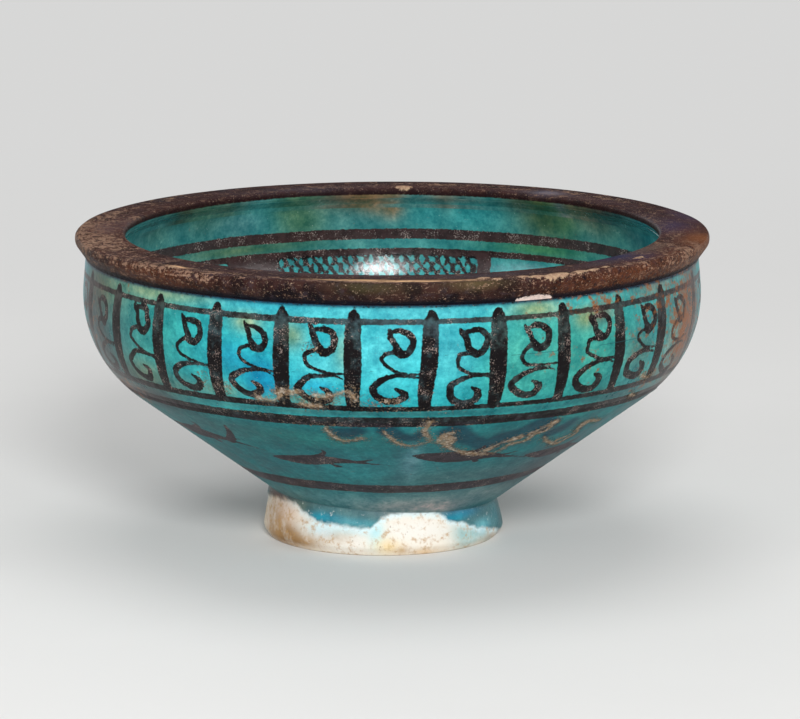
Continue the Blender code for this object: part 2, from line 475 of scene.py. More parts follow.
def stroke_depth(across, down, points):
    """How deep each place lies inside a stroke, in mm; negative outside it."""
    line = smooth_line(points)
    depth = np.full(across.shape, -FAR)
    for (u, v, width), (u_next, v_next, width_next) in zip(line, line[1:]):
        run = max((u_next - u) ** 2 + (v_next - v) ** 2, SHORTEST_RUN)
        share = ((across - u) * (u_next - u) + (down - v) * (v_next - v)) / run
        share = np.clip(share, 0, 1)
        gap = np.hypot(across - u - share * (u_next - u), down - v - share * (v_next - v))
        depth = np.maximum(depth, width + share * (width_next - width) - gap)
    return depth


def around(angle):
    """An angle brought between minus half a turn and half a turn."""
    return (angle + np.pi) % (2 * np.pi) - np.pi


def stroke_points(spots, widths, radius):
    """A stroke's points in mm about its first place, from places (angle, down) and half widths."""
    first_angle, first_down = spots[0]
    return [
        (around(angle - first_angle) * radius, down - first_down, width)
        for (angle, down), width in zip(spots, widths)
    ]


# %% Where each point of a piece lies
STROKE_MARGIN = 7


class Surface:
    """A piece's points as a painter sees them: angle from the front, millimetres down, pixels."""

    def __init__(self, piece):
        self.piece = piece
        self.spots = read_spots(piece)
        self.radius = np.hypot(self.spots[:, 0], self.spots[:, 1]) / MM
        self.angle = np.arctan2(self.spots[:, 0], -self.spots[:, 1])
        self.down = read_marks(piece)
        self.front = self.down >= 0
        self.pixels = pixel_of(self.spots)
        outward = np.empty(3 * len(self.spots), dtype=np.float32)
        piece.data.vertex_normals.foreach_get("vector", outward)
        towards = np.array(camera_place) - self.spots
        self.facing = np.einsum("ij,ij->i", outward.reshape(-1, 3), towards) > 0
        self.ink = self.blank(-FAR)
        self.thin = self.blank()
        self.crust = self.blank(-FAR)

    def blank(self, value=0.0):
        """The same number for every point."""
        return np.full(len(self.spots), value)

    def spot_at(self, pixel, far_side=False):
        """Angle and millimetres down of the point seen at a pixel, on the near or the far side."""
        side = self.front & self.facing & ((self.spots[:, 1] > 0) == far_side)
        gap = np.hypot(*(self.pixels - np.array(pixel)).T)
        index = np.argmin(np.where(side, gap, np.inf))
        return self.angle[index], self.down[index]

    def reach(self, centre, points):
        """Points near a stroke drawn in mm about a centre (angle, down), and their depth in it."""
        span = np.abs(np.array(points)[:, :2]).max() + STROKE_MARGIN
        across = around(self.angle - centre[0]) * self.radius
        below = self.down - centre[1]
        close = np.flatnonzero(self.front & (np.abs(across) < span) & (np.abs(below) < span))
        return close, stroke_depth(across[close], below[close], points)

    def brush(self, layer, centre, points):
        """Add a stroke to a layer such as the crust."""
        close, depth = self.reach(centre, points)
        layer[close] = np.maximum(layer[close], depth)

    def lay_ink(self, close, depth, thin):
        """Add a stroke to the ink; thin is 0 for dense ink and 1 for a wash."""
        wins = depth > self.ink[close]
        self.ink[close[wins]] = depth[wins]
        self.thin[close[wins]] = np.broadcast_to(thin, depth.shape)[wins]

    def keep(self, *layers):
        """Store painted layers on the piece, for its finish to read."""
        for layer in layers:
            store(self.piece, layer, getattr(self, layer))


surfaces = {piece.name: Surface(piece) for piece in (frieze, cone, rim, inside, foot)}
wall_surfaces = [surfaces["frieze_glaze"], surfaces["cone_glaze"]]
print("front points", {name: int(surface.front.sum()) for name, surface in surfaces.items()})

# %% [markdown]
# ## The frieze of arcaded panels
#
# Twenty-seven dark pillars divide the upper wall, and each panel holds the same brushed scroll: a leaf for
# a head, a neck and a long curl under it. The painter drew it again for each panel, so one scroll is kept
# in millimetres and each copy is moved, turned and wobbled a little with a seeded random generator. The
# pillars that the photograph shows stand where it shows them.

# %% The scroll and the pillar
PANELS = 27
PANEL_WIDTH = 22.7
PILLAR_ROW = 338
PILLAR_LEANS = [0.10, 0.10, 0.10, 0.10, 0.03, 0.03, 0.045, -0.03, -0.02, -0.03, 0, 0]
PILLAR_PIXELS = [96, 118.6, 159.7, 215, 279.2, 353.6, 430.3, 500.8, 565.5, 620.8, 661.4, 689]
hand = np.random.default_rng(26)
SCROLL = [
    [(9.6, 2.8, 0.50), (10.2, 3.9, 0.95), (11.0, 5.7, 1.00), (11.9, 7.8, 1.05), (13.2, 9.6, 1.15)],
    [(10.6, 3.8, 0.50), (13.0, 3.2, 0.85), (15.4, 3.9, 1.00), (17.1, 5.8, 1.05), (17.1, 7.9, 1.05),
     (15.7, 9.9, 1.15), (13.7, 10.4, 1.25), (12.1, 9.6, 0.90)],
    [(11.5, 9.9, 0.70), (9.4, 10.6, 0.70), (8.2, 11.9, 0.68), (8.2, 13.4, 0.66), (9.8, 15.1, 0.62),
     (13.0, 16.3, 0.55), (16.8, 16.8, 0.45), (20.9, 16.8, 0.38)],
    [(20.0, 18.3, 0.25), (17.2, 17.7, 0.45), (13.4, 17.6, 0.65), (9.4, 18.3, 0.95), (6.4, 20.1, 1.15),
     (5.4, 22.2, 1.20), (6.7, 24.8, 1.25), (9.8, 26.4, 1.30), (13.0, 26.4, 1.35), (15.0, 24.9, 1.35),
     (14.6, 23.1, 1.15), (12.4, 21.6, 0.45)],
]
PILLAR = [
    (0, -1.75, 0.95), (0, -1.0, 1.50), (0, 0.2, 1.90), (0, 2.0, 2.30), (0, 6.0, 2.50),
    (0, 11.0, 2.65), (0, 16.0, 2.65), (0, 22.0, 2.40), (0, 28.6, 2.05),
]
SCROLL_MIDDLE = (12, 14)
SCROLL_SIZES = (0.94, 1.03)
SCROLL_LEAN = 0.04
SCROLL_SHIFT = 0.35
SCROLL_WOBBLE = 0.24
SCROLL_THIN = (0.05, 0.35)
PILLAR_MIDDLE = (0, 6)
PILLAR_LEAN = 0.02
PILLAR_SHIFT = 0.3
PILLAR_WOBBLE = 0.10
PILLAR_THIN = 0.05
FADE_SHARES = (0.35, 0.85)
FADE_TOP = (-1.2, 1.4)
FADE_START = 3
FADE_ENDS = (9, 17)
STROKE_SWELL = (0.88, 1.15)
PANEL_MARGINS = (5, 3)
TOP_LINE_ROWS = (319, 325)
BOTTOM_LINE_ROWS = (406, 411.5)


# %% Paint the panels
def hand_drawn(points, middle, lean, size, shift, wobble):
    """One stroke drawn again by hand: scaled and turned about a middle, shifted and wobbled."""
    points = np.array(points, dtype=float)
    turn = np.array([[math.cos(lean), -math.sin(lean)], [math.sin(lean), math.cos(lean)]])
    places = (points[:, :2] - middle) @ turn.T * size + middle + shift
    places += hand.normal(0, wobble, places.shape)
    return np.column_stack([places, points[:, 2] * hand.uniform(*STROKE_SWELL)])


def paint_panels(surface):
    """Paint a pillar and a scroll for each panel, round the whole wall, and count them."""
    top = wall_mark_at_row(TOP_LINE_ROWS[0]) / MM
    below = surface.down - top
    shown = [surface.spot_at((column, PILLAR_ROW))[0] for column in PILLAR_PIXELS]
    rest = np.linspace(shown[-1], shown[0] + 2 * math.pi, PANELS - len(shown) + 2)[1:-1]
    leans = PILLAR_LEANS + [0] * len(rest)
    for left, slant in zip([*shown, *rest], leans):
        across = around(surface.angle - left) * PANEL_WIDTH * PANELS / (2 * math.pi)
        within = (across > -PANEL_MARGINS[0]) & (across < PANEL_WIDTH + PANEL_MARGINS[1])
        close = np.flatnonzero(surface.front & within)
        lean = hand.normal(0, SCROLL_LEAN)
        size = hand.uniform(*SCROLL_SIZES)
        shift = hand.normal(0, SCROLL_SHIFT, 2)
        slant += hand.normal(0, PILLAR_LEAN)
        sideways = (hand.normal(0, PILLAR_SHIFT), 0)
        pillar = hand_drawn(PILLAR, PILLAR_MIDDLE, slant, 1, sideways, PILLAR_WOBBLE)
        fade = hand.uniform(*FADE_SHARES)
        fade = fade * (1 - smooth_step(below[close], FADE_START, hand.uniform(*FADE_ENDS)))
        fade *= smooth_step(below[close], *FADE_TOP)
        surface.lay_ink(close, stroke_depth(across[close], below[close], pillar), PILLAR_THIN + fade)
        for stroke in SCROLL:
            drawn_again = hand_drawn(stroke, SCROLL_MIDDLE, lean, size, shift, SCROLL_WOBBLE)
            depth = stroke_depth(across[close], below[close], drawn_again)
            surface.lay_ink(close, depth, hand.uniform(*SCROLL_THIN))
    return len(leans)


print(paint_panels(surfaces["frieze_glaze"]), "pillars")

# %% [markdown]
# ## Bands and fish
#
# Bands ring the wall above and below the frieze and near the foot. They were drawn while the bowl turned,
# so they waver slowly. A band could be a long stroke, but the distance from a wavering middle line gives
# the same depth at once, with no joint. Between the lower bands swims a row of fish, all heading left. They
# are strokes, like the scroll.

# %% Bands round the wall
LOWER_BAND_ROWS = (484.3, 492)
RIM_EDGE_ROWS = (260, 307.5)
WAVES = (2, 3, 5, 9, 17)
ANY_PHASE = 6.28
BAND_SWELL = 0.10
BANDS = [
    (RIM_EDGE_ROWS, 9, 0.10, 0.0),
    (TOP_LINE_ROWS, 11, 0.12, 0.60),
    (BOTTOM_LINE_ROWS, 13, 0.14, 0.25),
    (THICK_BAND_ROWS, 15, 0.18, 0.30),
    (LOWER_BAND_ROWS, 17, 0.30, 0.75),
]


def waver(angle, seed, size):
    """A slow, seamless wander round the bowl, in mm."""
    tone = np.random.default_rng(seed)
    total = np.zeros_like(angle)
    for waves in WAVES:
        total += tone.normal(0, 1) * np.cos(waves * angle + tone.uniform(0, ANY_PHASE)) / waves ** 0.5
    return size * total


def paint_band(surface, rows, seed, sway, thin):
    """Paint a ring between two pixel rows that sways, swells and thins a little on its way round."""
    top, bottom = (wall_mark_at_row(row) / MM for row in rows)
    middle = (top + bottom) / 2 + waver(surface.angle, seed, sway)
    half = (bottom - top) / 2 * (1 + waver(surface.angle, seed + 1, BAND_SWELL))
    fade = np.clip(thin + waver(surface.angle, seed + 2, BAND_SWELL), 0, 1)
    close = np.flatnonzero(surface.front)
    surface.lay_ink(close, (half - np.abs(surface.down - middle))[close], fade[close])


for surface in wall_surfaces:
    for band in BANDS:
        paint_band(surface, *band)
print(len(BANDS), "bands")

# %% The fish
FISH_NOSE_PIXELS = [(273, 454), (417, 456.5), (527, 455)]
FISH_LEANS = [-0.09, 0.04, 0.0]
LEFT_TAIL_PIXEL = (236, 440.5)
TAIL_REACH = 31.0
TAIL_RISE = 2.0
LEFT_FIN_PIXELS = [(230, 440), (231.5, 435), (230, 430), (227, 426)]
LEFT_FIN_WIDTHS = (1.8, 0.5)
HIDDEN_FISH_ANGLES = [-107, -142, -177, 148, 111, 74]
FISH_THIN = 0.8
FISH_MIDDLE = (14, 0)
FISH_SIZES = (1.02, 1.07)
FISH_LEAN = 0.015
FISH_DRIFT = 0.8
FISH_WOBBLE = 0.12
FISH = [
    [(0, 0, 0.6), (3.5, 0.6, 2.1), (8.7, 1.3, 3.2), (13.4, 1.0, 3.5), (18, 0.9, 2.9), (22.7, 1.5, 1.9),
     (27.3, 2.4, 1.0)],
    [(25, 2.0, 1.0), (29, 1.7, 0.6), (33.5, 0.4, 0.25)],
    [(26, 2.4, 0.9), (32, 4.0, 0.5), (37.5, 6.2, 0.2)],
    [(15.5, -1.0, 1.6), (18.0, -2.4, 1.1), (20.2, -4.2, 0.75), (20.6, -5.8, 0.5)],
    [(17.5, 2.2, 0.9), (18.2, 3.8, 0.5), (18.9, 4.9, 0.9), (20.2, 5.0, 0.4)],
]
cone_surface = surfaces["cone_glaze"]
noses = [cone_surface.spot_at(pixel) for pixel in FISH_NOSE_PIXELS]
tail_angle, tail_down = cone_surface.spot_at(LEFT_TAIL_PIXEL)
tail_radius = np.interp(tail_down * MM, marks_along(wall_path), wall_path[:, 0]) / MM
noses.append((tail_angle - TAIL_REACH / tail_radius, tail_down - TAIL_RISE))
for degrees in HIDDEN_FISH_ANGLES:
    noses.append((math.radians(degrees), noses[0][1] + hand.normal(0, FISH_DRIFT)))
leans = FISH_LEANS + [0.0] * (len(noses) - len(FISH_LEANS))
for nose, lean in zip(noses, leans):
    lean += hand.normal(0.0, FISH_LEAN)
    size = hand.uniform(*FISH_SIZES)
    for stroke in FISH:
        mark = hand_drawn(stroke, FISH_MIDDLE, lean, size, (0, 0), FISH_WOBBLE)
        cone_surface.lay_ink(*cone_surface.reach(nose, mark), FISH_THIN)
fin_spots = [cone_surface.spot_at(pixel) for pixel in LEFT_FIN_PIXELS]
fin_widths = np.linspace(*LEFT_FIN_WIDTHS, len(fin_spots))
fin = stroke_points(fin_spots, fin_widths, tail_radius)
cone_surface.lay_ink(*cone_surface.reach(fin_spots[0], fin), FISH_THIN)
print("nose of the first fish at", np.round(noses[0], 2))

# %% [markdown]
# ## Crust and pools
#
# Long burial left tan crusts in wandering lines, mostly under the thick band, and the glaze ran into deep
# blue pools above them. Thin cracks cross some panels. Noise alone would strew them anywhere, so the lines
# that the photograph shows are traced from its pixels, and a seeded generator lays similar crusts and pools
# round the unseen back.

# %% Crusts, cracks and pools by pixel
CRUST_PIXELS = [
    [(384, 432), (391.6, 439), (400, 444), (410, 445.6), (420, 444), (427, 440), (424, 431), (430, 425)],
    [(438, 442), (448, 445), (454.6, 451), (466, 454), (483, 454.7), (494, 450), (506, 445), (521, 440.6),
     (534, 434), (546, 430), (556, 425), (561, 420)],
    [(544, 436.5), (546, 441), (554, 444), (564, 439), (574, 433), (579, 426.5), (589, 420), (600, 420)],
    [(327, 429), (333, 436.7), (342, 441), (351, 440.6), (360.6, 437.5)],
    [(258, 398), (274, 400), (281, 396)],
    [(275.5, 392), (283.6, 391), (291.6, 392), (300, 392)],
    [(301, 404), (310, 405), (320, 406.5)],
    [(316, 395), (326, 396), (337, 394), (348, 392), (356, 399)],
    [(641, 375), (646, 378), (650, 375)],
    [(630, 395), (634, 396)],
]
CRUST_HALF_WIDTH = 0.95
PATCH_HALF_WIDTH = 1.40
GRIT_PIXELS = [
    ((283, 393), 6, 3.0, 1.0), ((300, 397), 6, 2.5, 0.8), ((325, 398), 7, 3.0, 1.0),
    ((354, 396), 3, 5.0, 1.0), ((385, 402), 8, 2.5, 0.9), ((368, 405), 5, 2.0, 0.7),
    ((228, 388), 4, 4.0, 0.7), ((205, 380), 5, 5.0, 0.6), ((312, 347), 4, 3.0, 0.7),
    ((430, 390), 2, 5.0, 0.6), ((500, 388), 2, 6.0, 0.5), ((395, 410), 16, 1.6, 0.6),
    ((440, 412), 12, 1.4, 0.5), ((320, 424), 20, 1.6, 0.6), ((240, 412), 20, 1.6, 0.6),
    ((545, 330), 3, 4.0, 0.5),
]
CRUST_HALO = (-3.4, -0.3)
HALO_GRIT = 0.62
CRUST_PATCH_PIXELS = [
    [(437, 443), (444, 437), (452, 433)],
    [(446, 436), (450, 440), (447, 446)],
    [(486, 450), (500, 443), (512, 440), (522, 437)],
    [(448, 447), (458, 451), (470, 453), (480, 453.5)],
    [(530, 434), (542, 428), (556, 422)],
    [(556, 440), (566, 436), (576, 430), (586, 423)],
    [(424, 436), (426, 428), (430, 423)],
]
CRACK_PIXELS = [
    [(292, 372), (312, 374), (330, 377), (357, 376)],
    [(445, 356), (468, 353), (482, 351), (492, 349)],
    [(512, 355), (526, 354), (540, 353), (560, 350)],
    [(250, 337), (268, 339), (300, 340)],
    [(370, 372), (395, 373), (420, 372), (432, 373)],
    [(312, 374), (322, 379), (336, 384)],
    [(600, 345), (622, 341), (640, 338)],
]
CRACK_HALF_WIDTH = 0.07
POOL_PIXELS = [
    ([(332, 430), (345, 433), (358, 431)], 3.0),
    ([(388, 431), (400, 436), (412, 438), (422, 434)], 3.0),
    ([(455, 432), (470, 440), (485, 445), (500, 438), (520, 432), (545, 424)], 5.0),
    ([(552, 432), (562, 428), (575, 420)], 3.0),
]
TRACED = [
    (CRUST_PIXELS, CRUST_HALF_WIDTH, "crust", 0.40),
    (CRUST_PATCH_PIXELS, PATCH_HALF_WIDTH, "crust", 0.60),
    (CRACK_PIXELS, CRACK_HALF_WIDTH, "crack", 0.0),
]
POOL_UNEVEN = 0.3

# %% Trace them
BACK_CRUSTS = 16
BACK_SIDE = (math.radians(75), math.radians(285))
BACK_UNEVEN = 0.85
CRUST_DROP = (1, 9)
CRUST_STEPS = (4, 11)
CRUST_STRIDE = (0.02, 0.06)
CRUST_WANDER = 1.6
CRUST_SWELL = (0.7, 1.3)
POOL_RISE = 2.5
POOL_HALF_WIDTHS = (2, 4)


def wall_spot(pixel):
    """Angle and millimetres down of the outside wall at a pixel."""
    best = []
    for surface in wall_surfaces:
        near = surface.front & (surface.spots[:, 1] < 0)
        gap = np.where(near, np.hypot(*(surface.pixels - np.array(pixel)).T), np.inf)
        index = np.argmin(gap)
        best.append((gap[index], surface.angle[index], surface.down[index]))
    return min(best)[1:]


def lay_line(spots, half_width, layer, uneven):
    """Lay a line of uneven width through places (angle, down) on both wall pieces."""
    widths = half_width * (1 + uneven * hand.uniform(-1, 1, len(spots)))
    for surface in wall_surfaces:
        near = np.argmin(np.abs(surface.down[surface.front] - spots[0][1]))
        radius = surface.radius[surface.front][near]
        surface.brush(getattr(surface, layer), spots[0], stroke_points(spots, widths, radius))


for surface in wall_surfaces:
    surface.pool = surface.blank(-FAR)
    surface.crack = surface.blank(-FAR)
for lines, half_width, layer, uneven in TRACED:
    for pixels in lines:
        lay_line([wall_spot(pixel) for pixel in pixels], half_width, layer, uneven)
for pixels, half_width in POOL_PIXELS:
    lay_line([wall_spot(pixel) for pixel in pixels], half_width, "pool", POOL_UNEVEN)
band_down = wall_mark_at_row(THICK_BAND_ROWS[1]) / MM
for index in range(BACK_CRUSTS):
    angle = hand.uniform(*BACK_SIDE)
    down = band_down + hand.uniform(*CRUST_DROP)
    spots = [(angle, down)]
    for step in range(hand.integers(*CRUST_STEPS)):
        angle += hand.uniform(*CRUST_STRIDE)
        down += hand.normal(0, CRUST_WANDER)
        spots.append((angle, down))
    lay_line(spots, CRUST_HALF_WIDTH * hand.uniform(*CRUST_SWELL), "crust", BACK_UNEVEN)
    above = [(angle, down - POOL_RISE) for angle, down in spots]
    lay_line(above, hand.uniform(*POOL_HALF_WIDTHS), "pool", POOL_UNEVEN)
print("crusted points", [int((surface.crust > 0).sum()) for surface in wall_surfaces])

# %% [markdown]
# ## The colour of the glaze
#
# The turquoise is bright cyan in front, partly as painted light falling from the front, greener to the right
# and the far left, dull and grey on the lower wall, darkened to navy by painted shadow just under the rim,
# and stained yellow and rust in places. Plum-grey at the left and right ends is painted shade with burial
# dirt in it, and a few pale spots and streaks are painted highlights. Each point gets its own glaze colour:
# a base for its height, then soft spots laid over it, at pixels where the photograph shows them. A spot is a
# pixel, a width and a height in millimetres, a colour and a strength. A colour without a name is mixed for
# that one spot.

# %% Glaze colours
CYAN = (0.028, 0.420, 0.485)
PALE_CYAN = (0.090, 0.475, 0.525)
TEAL = (0.012, 0.310, 0.325)
GREEN = (0.038, 0.260, 0.200)
BLUE = (0.000, 0.250, 0.450)
DULL = (0.013, 0.150, 0.162)
GREY = (0.155, 0.235, 0.240)
POOL = (0.005, 0.050, 0.075)
NAVY_SHADOW = (0.003, 0.022, 0.060)
STAIN = (0.300, 0.300, 0.090)
DUST = (0.255, 0.260, 0.262)
# Plum-grey for the wall's left and right ends: painted shade where the wall turns away, with burial dirt in
# it.
PLUM_DIRT_AND_SHADE = (0.046, 0.040, 0.047)
RUST = (0.240, 0.075, 0.018)
WALL_SPOTS = [
    # The broad cyan spots in front are partly painted light falling from the front.
    ((335, 365), 40, 16, CYAN, 0.85), ((430, 350), 34, 18, CYAN, 0.95), ((262, 374), 7, 6, BLUE, 0.85),
    ((228, 356), 6, 5, BLUE, 0.75), ((265, 385), 5, 3, BLUE, 0.7), ((316, 386), 6, 3, BLUE, 0.6),
    ((200, 350), 14, 12, CYAN, 0.55), ((250, 300), 34, 4, CYAN, 0.70), ((280, 303), 18, 3, BLUE, 0.45),
    ((385, 350), 9, 10, PALE_CYAN, 0.7), ((455, 350), 8, 10, PALE_CYAN, 0.4),
    ((320, 365), 8, 5, PALE_CYAN, 0.6), ((520, 370), 16, 14, GREEN, 0.55),
    ((545, 350), 22, 18, GREEN, 0.45), ((600, 350), 22, 20, GREEN, 0.75),
    ((150, 330), 26, 20, GREEN, 0.50), ((108, 330), 20, 24, (0.07, 0.15, 0.14), 0.65),
    ((100, 285), 16, 6, STAIN, 0.55), ((150, 292), 16, 3, STAIN, 0.50), ((190, 296), 12, 2, STAIN, 0.35),
    ((246, 322), 5, 3, STAIN, 0.65), ((292, 335), 4, 4, STAIN, 0.65), ((343, 352), 3, 6, STAIN, 0.40),
    ((310, 400), 10, 2, STAIN, 0.45), ((222, 390), 7, 3, STAIN, 0.4), ((150, 375), 10, 5, STAIN, 0.35),
    ((640, 350), 5, 4, STAIN, 0.6), ((600, 312), 5, 3, RUST, 0.7), ((585, 318), 4, 3, STAIN, 0.6),
    ((683, 340), 9, 12, RUST, 0.80), ((690, 300), 8, 9, RUST, 0.6),
    # Painted highlight: the narrow pale spot at pixel (668, 347).
    ((668, 347), 2, 7, (0.30, 0.46, 0.40), 0.7), ((650, 376), 6, 4, RUST, 0.6),
    ((655, 283), 14, 4, RUST, 0.5), ((128, 385), 16, 4, RUST, 0.6),
    # Painted highlight: the pale cyan along the strip under the rim at pixel (395, 313).
    ((470, 306), 34, 3, (0.022, 0.340, 0.385), 0.75), ((395, 313), 40, 3, PALE_CYAN, 0.80),
    ((535, 309), 8, 3, STAIN, 0.80), ((350, 413), 60, 1.6, (0.05, 0.155, 0.145), 0.85),
    ((480, 413), 60, 1.6, (0.012, 0.145, 0.155), 0.85), ((360, 470), 24, 10, (0.020, 0.200, 0.220), 0.85),
    # Painted highlight: the narrow pale streak on the lower wall at pixel (410, 462).
    ((300, 436), 30, 7, (0.015, 0.190, 0.175), 0.6), ((410, 462), 3.4, 13, (0.105, 0.250, 0.290), 0.75),
    ((470, 475), 22, 7, (0.060, 0.140, 0.148), 0.8), ((545, 460), 16, 14, (0.090, 0.120, 0.135), 0.65),
    ((215, 425), 22, 8, (0.050, 0.125, 0.130), 0.5), ((350, 502), 34, 6, (0.090, 0.270, 0.290), 0.85),
    ((435, 502), 28, 6, GREY, 0.90), ((480, 492), 16, 5, GREY, 0.6),
    ((300, 498), 14, 4, (0.055, 0.150, 0.150), 0.7), ((418, 508), 15, 4, DUST, 0.90),
    ((445, 508), 8, 4, DUST, 0.75), ((300, 505), 5, 3, (0.090, 0.135, 0.110), 0.8),
    ((600, 425), 14, 8, PLUM_DIRT_AND_SHADE, 0.65), ((640, 395), 14, 8, PLUM_DIRT_AND_SHADE, 0.75),
    ((530, 470), 10, 10, PLUM_DIRT_AND_SHADE, 0.55), ((160, 395), 14, 8, PLUM_DIRT_AND_SHADE, 0.65),
    ((110, 360), 14, 14, PLUM_DIRT_AND_SHADE, 0.55), ((91, 320), 14, 22, PLUM_DIRT_AND_SHADE, 0.72),
    ((96, 290), 12, 7, (0.060, 0.052, 0.045), 0.70), ((694, 310), 10, 22, PLUM_DIRT_AND_SHADE, 0.66),
    ((600, 392), 10, 4, (0.012, 0.090, 0.090), 0.80), ((640, 352), 9, 12, (0.050, 0.180, 0.172), 0.88),
    ((104, 345), 7, 16, (0.058, 0.062, 0.060), 0.70), ((112, 385), 12, 6, (0.066, 0.048, 0.044), 0.75),
    ((135, 374), 12, 5, (0.075, 0.095, 0.075), 0.65), ((185, 387), 12, 4, (0.080, 0.130, 0.100), 0.55),
    ((155, 397), 14, 4, (0.060, 0.046, 0.046), 0.65), ((690, 325), 6, 20, (0.085, 0.052, 0.046), 0.65),
    ((656, 386), 14, 4, (0.090, 0.062, 0.050), 0.70), ((625, 393), 12, 3, (0.050, 0.050, 0.055), 0.55),
    ((670, 370), 8, 6, (0.120, 0.075, 0.050), 0.65), ((672, 325), 7, 12, (0.095, 0.105, 0.075), 0.45),
    ((448, 350), 8, 11, (0.050, 0.350, 0.400), 0.80), ((520, 345), 9, 10, (0.050, 0.330, 0.280), 0.70),
]
RUST_PIXELS = [
    ((600, 300), 26, 6, 0.7), ((685, 320), 20, 22, 1.0), ((660, 300), 16, 12, 0.8),
    ((640, 330), 10, 12, 0.5), ((595, 358), 8, 8, 0.45), ((618, 330), 6, 6, 0.45),
    ((648, 376), 10, 8, 0.7), ((132, 388), 14, 6, 0.8), ((95, 330), 10, 16, 0.5),
    ((545, 345), 5, 10, 0.35), ((120, 280), 20, 6, 0.4),
]

# %% Lay the glaze colours
BACK_SPOTS = 34
BACK_GLAZE = (math.radians(80), math.radians(280))
BACK_TINTS = (CYAN, TEAL, GREEN, BLUE, STAIN, RUST, CYAN, TEAL)
BACK_SHARES = (0.3, 0.6)
SMALL_STAINS = (5, 12)
BROAD_CLOUDS = (12, 34)
SPOT_FLATNESS = 0.5
LOWER_WALL_FADE = (1, 9)
POOL_EDGE = (-1.0, 1.6)
POOL_SHARE = 0.92
RIM_SHADE_END = 0.9


def mix_in(colour, share, other):
    """Lay another colour over each point's colour by a share of 0 to 1."""
    return colour + share[:, None] * (np.array(other) - colour)


def soft_spot(surface, centre, wide, tall):
    """Nearness of each point to a place (angle, down): 1 there, fading over a width and a height."""
    across = around(surface.angle - centre[0]) * surface.radius
    return np.exp(-(across / wide) ** 2 - ((surface.down - centre[1]) / tall) ** 2)


def placed(find, spots):
    """Spots with each pixel turned into the place (angle, down) that it shows."""
    return [(find(pixel), *rest) for pixel, *rest in spots]


def lay_spots(surface, colour, spots):
    """Lay soft spots over a piece's colour, one over the other."""
    for centre, wide, tall, tint, share in spots:
        colour = mix_in(colour, share * soft_spot(surface, centre, wide, tall), tint)
    return colour


def strongest(surface, spots):
    """The most that any one of the soft spots gives each point."""
    most = surface.blank()
    for centre, wide, tall, share in spots:
        most = np.maximum(most, share * soft_spot(surface, centre, wide, tall))
    return most


shoulder_down = wall_mark_at_row(BOTTOM_LINE_ROWS[1]) / MM
rim_shade_end = wall_mark_at_row(RIM_EDGE_ROWS[1]) / MM + RIM_SHADE_END
back_spots = []
for index in range(BACK_SPOTS):
    spot = (hand.uniform(*BACK_GLAZE), hand.uniform(0, shoulder_down))
    tint = BACK_TINTS[hand.integers(len(BACK_TINTS))]
    size = hand.uniform(*(SMALL_STAINS if tint in (STAIN, RUST) else BROAD_CLOUDS))
    back_spots.append((spot, size, size * SPOT_FLATNESS, tint, hand.uniform(*BACK_SHARES)))
glaze_spots = placed(wall_spot, WALL_SPOTS) + back_spots
rust_spots = placed(wall_spot, RUST_PIXELS) + [(*spot[:3], 1.0) for spot in back_spots if spot[3] == RUST]
grit_spots = placed(wall_spot, GRIT_PIXELS)
for surface in wall_surfaces:
    lower = smooth_step(surface.down, *(shoulder_down + fade for fade in LOWER_WALL_FADE))
    glaze = mix_in(np.tile(TEAL, (len(surface.spots), 1)), lower, DULL)
    glaze = lay_spots(surface, glaze, glaze_spots)
    glaze = mix_in(glaze, POOL_SHARE * smooth_step(surface.pool, *POOL_EDGE), POOL)
    # Painted shadow: the glaze darkens to navy just under the ledge.
    surface.glaze = mix_in(glaze, 1 - smooth_step(surface.down, 0.0, rim_shade_end), NAVY_SHADOW)
    surface.rust = strongest(surface, rust_spots)
    halo = HALO_GRIT * smooth_step(surface.crust, *CRUST_HALO)
    surface.grit = np.maximum(halo, strongest(surface, grit_spots))
print(len(glaze_spots), "spots of colour on the wall")

# %% Raise the crust and keep the painting
CRUST_RISE = 0.00030
CRUST_EDGE = (-0.4, 0.5)
PAINTED_LAYERS = ("ink", "thin", "crust", "crack", "rust", "grit", "glaze")
for surface in wall_surfaces:
    outwards = surface.spots * np.array([1, 1, 0])
    outwards /= np.linalg.norm(outwards, axis=1)[:, None]
    rise = CRUST_RISE * smooth_step(surface.crust, *CRUST_EDGE)
    move_spots(surface.piece, surface.spots + outwards * rise[:, None])
    surface.keep(*PAINTED_LAYERS)
    close_up(surface.piece)
print("crust stands up to", CRUST_RISE / MM, "mm proud")

# %% [markdown]
# ## Inside the bowl
#
# Inside, a plain turquoise field under the rim ends in a brown band. Below a narrow stripe come panels of
# crossed lines, with plain ones between them, and one thin ring lies near the floor. The crossed lines
# could be about two hundred strokes. They are straight and even, so a formula repeats them instead.

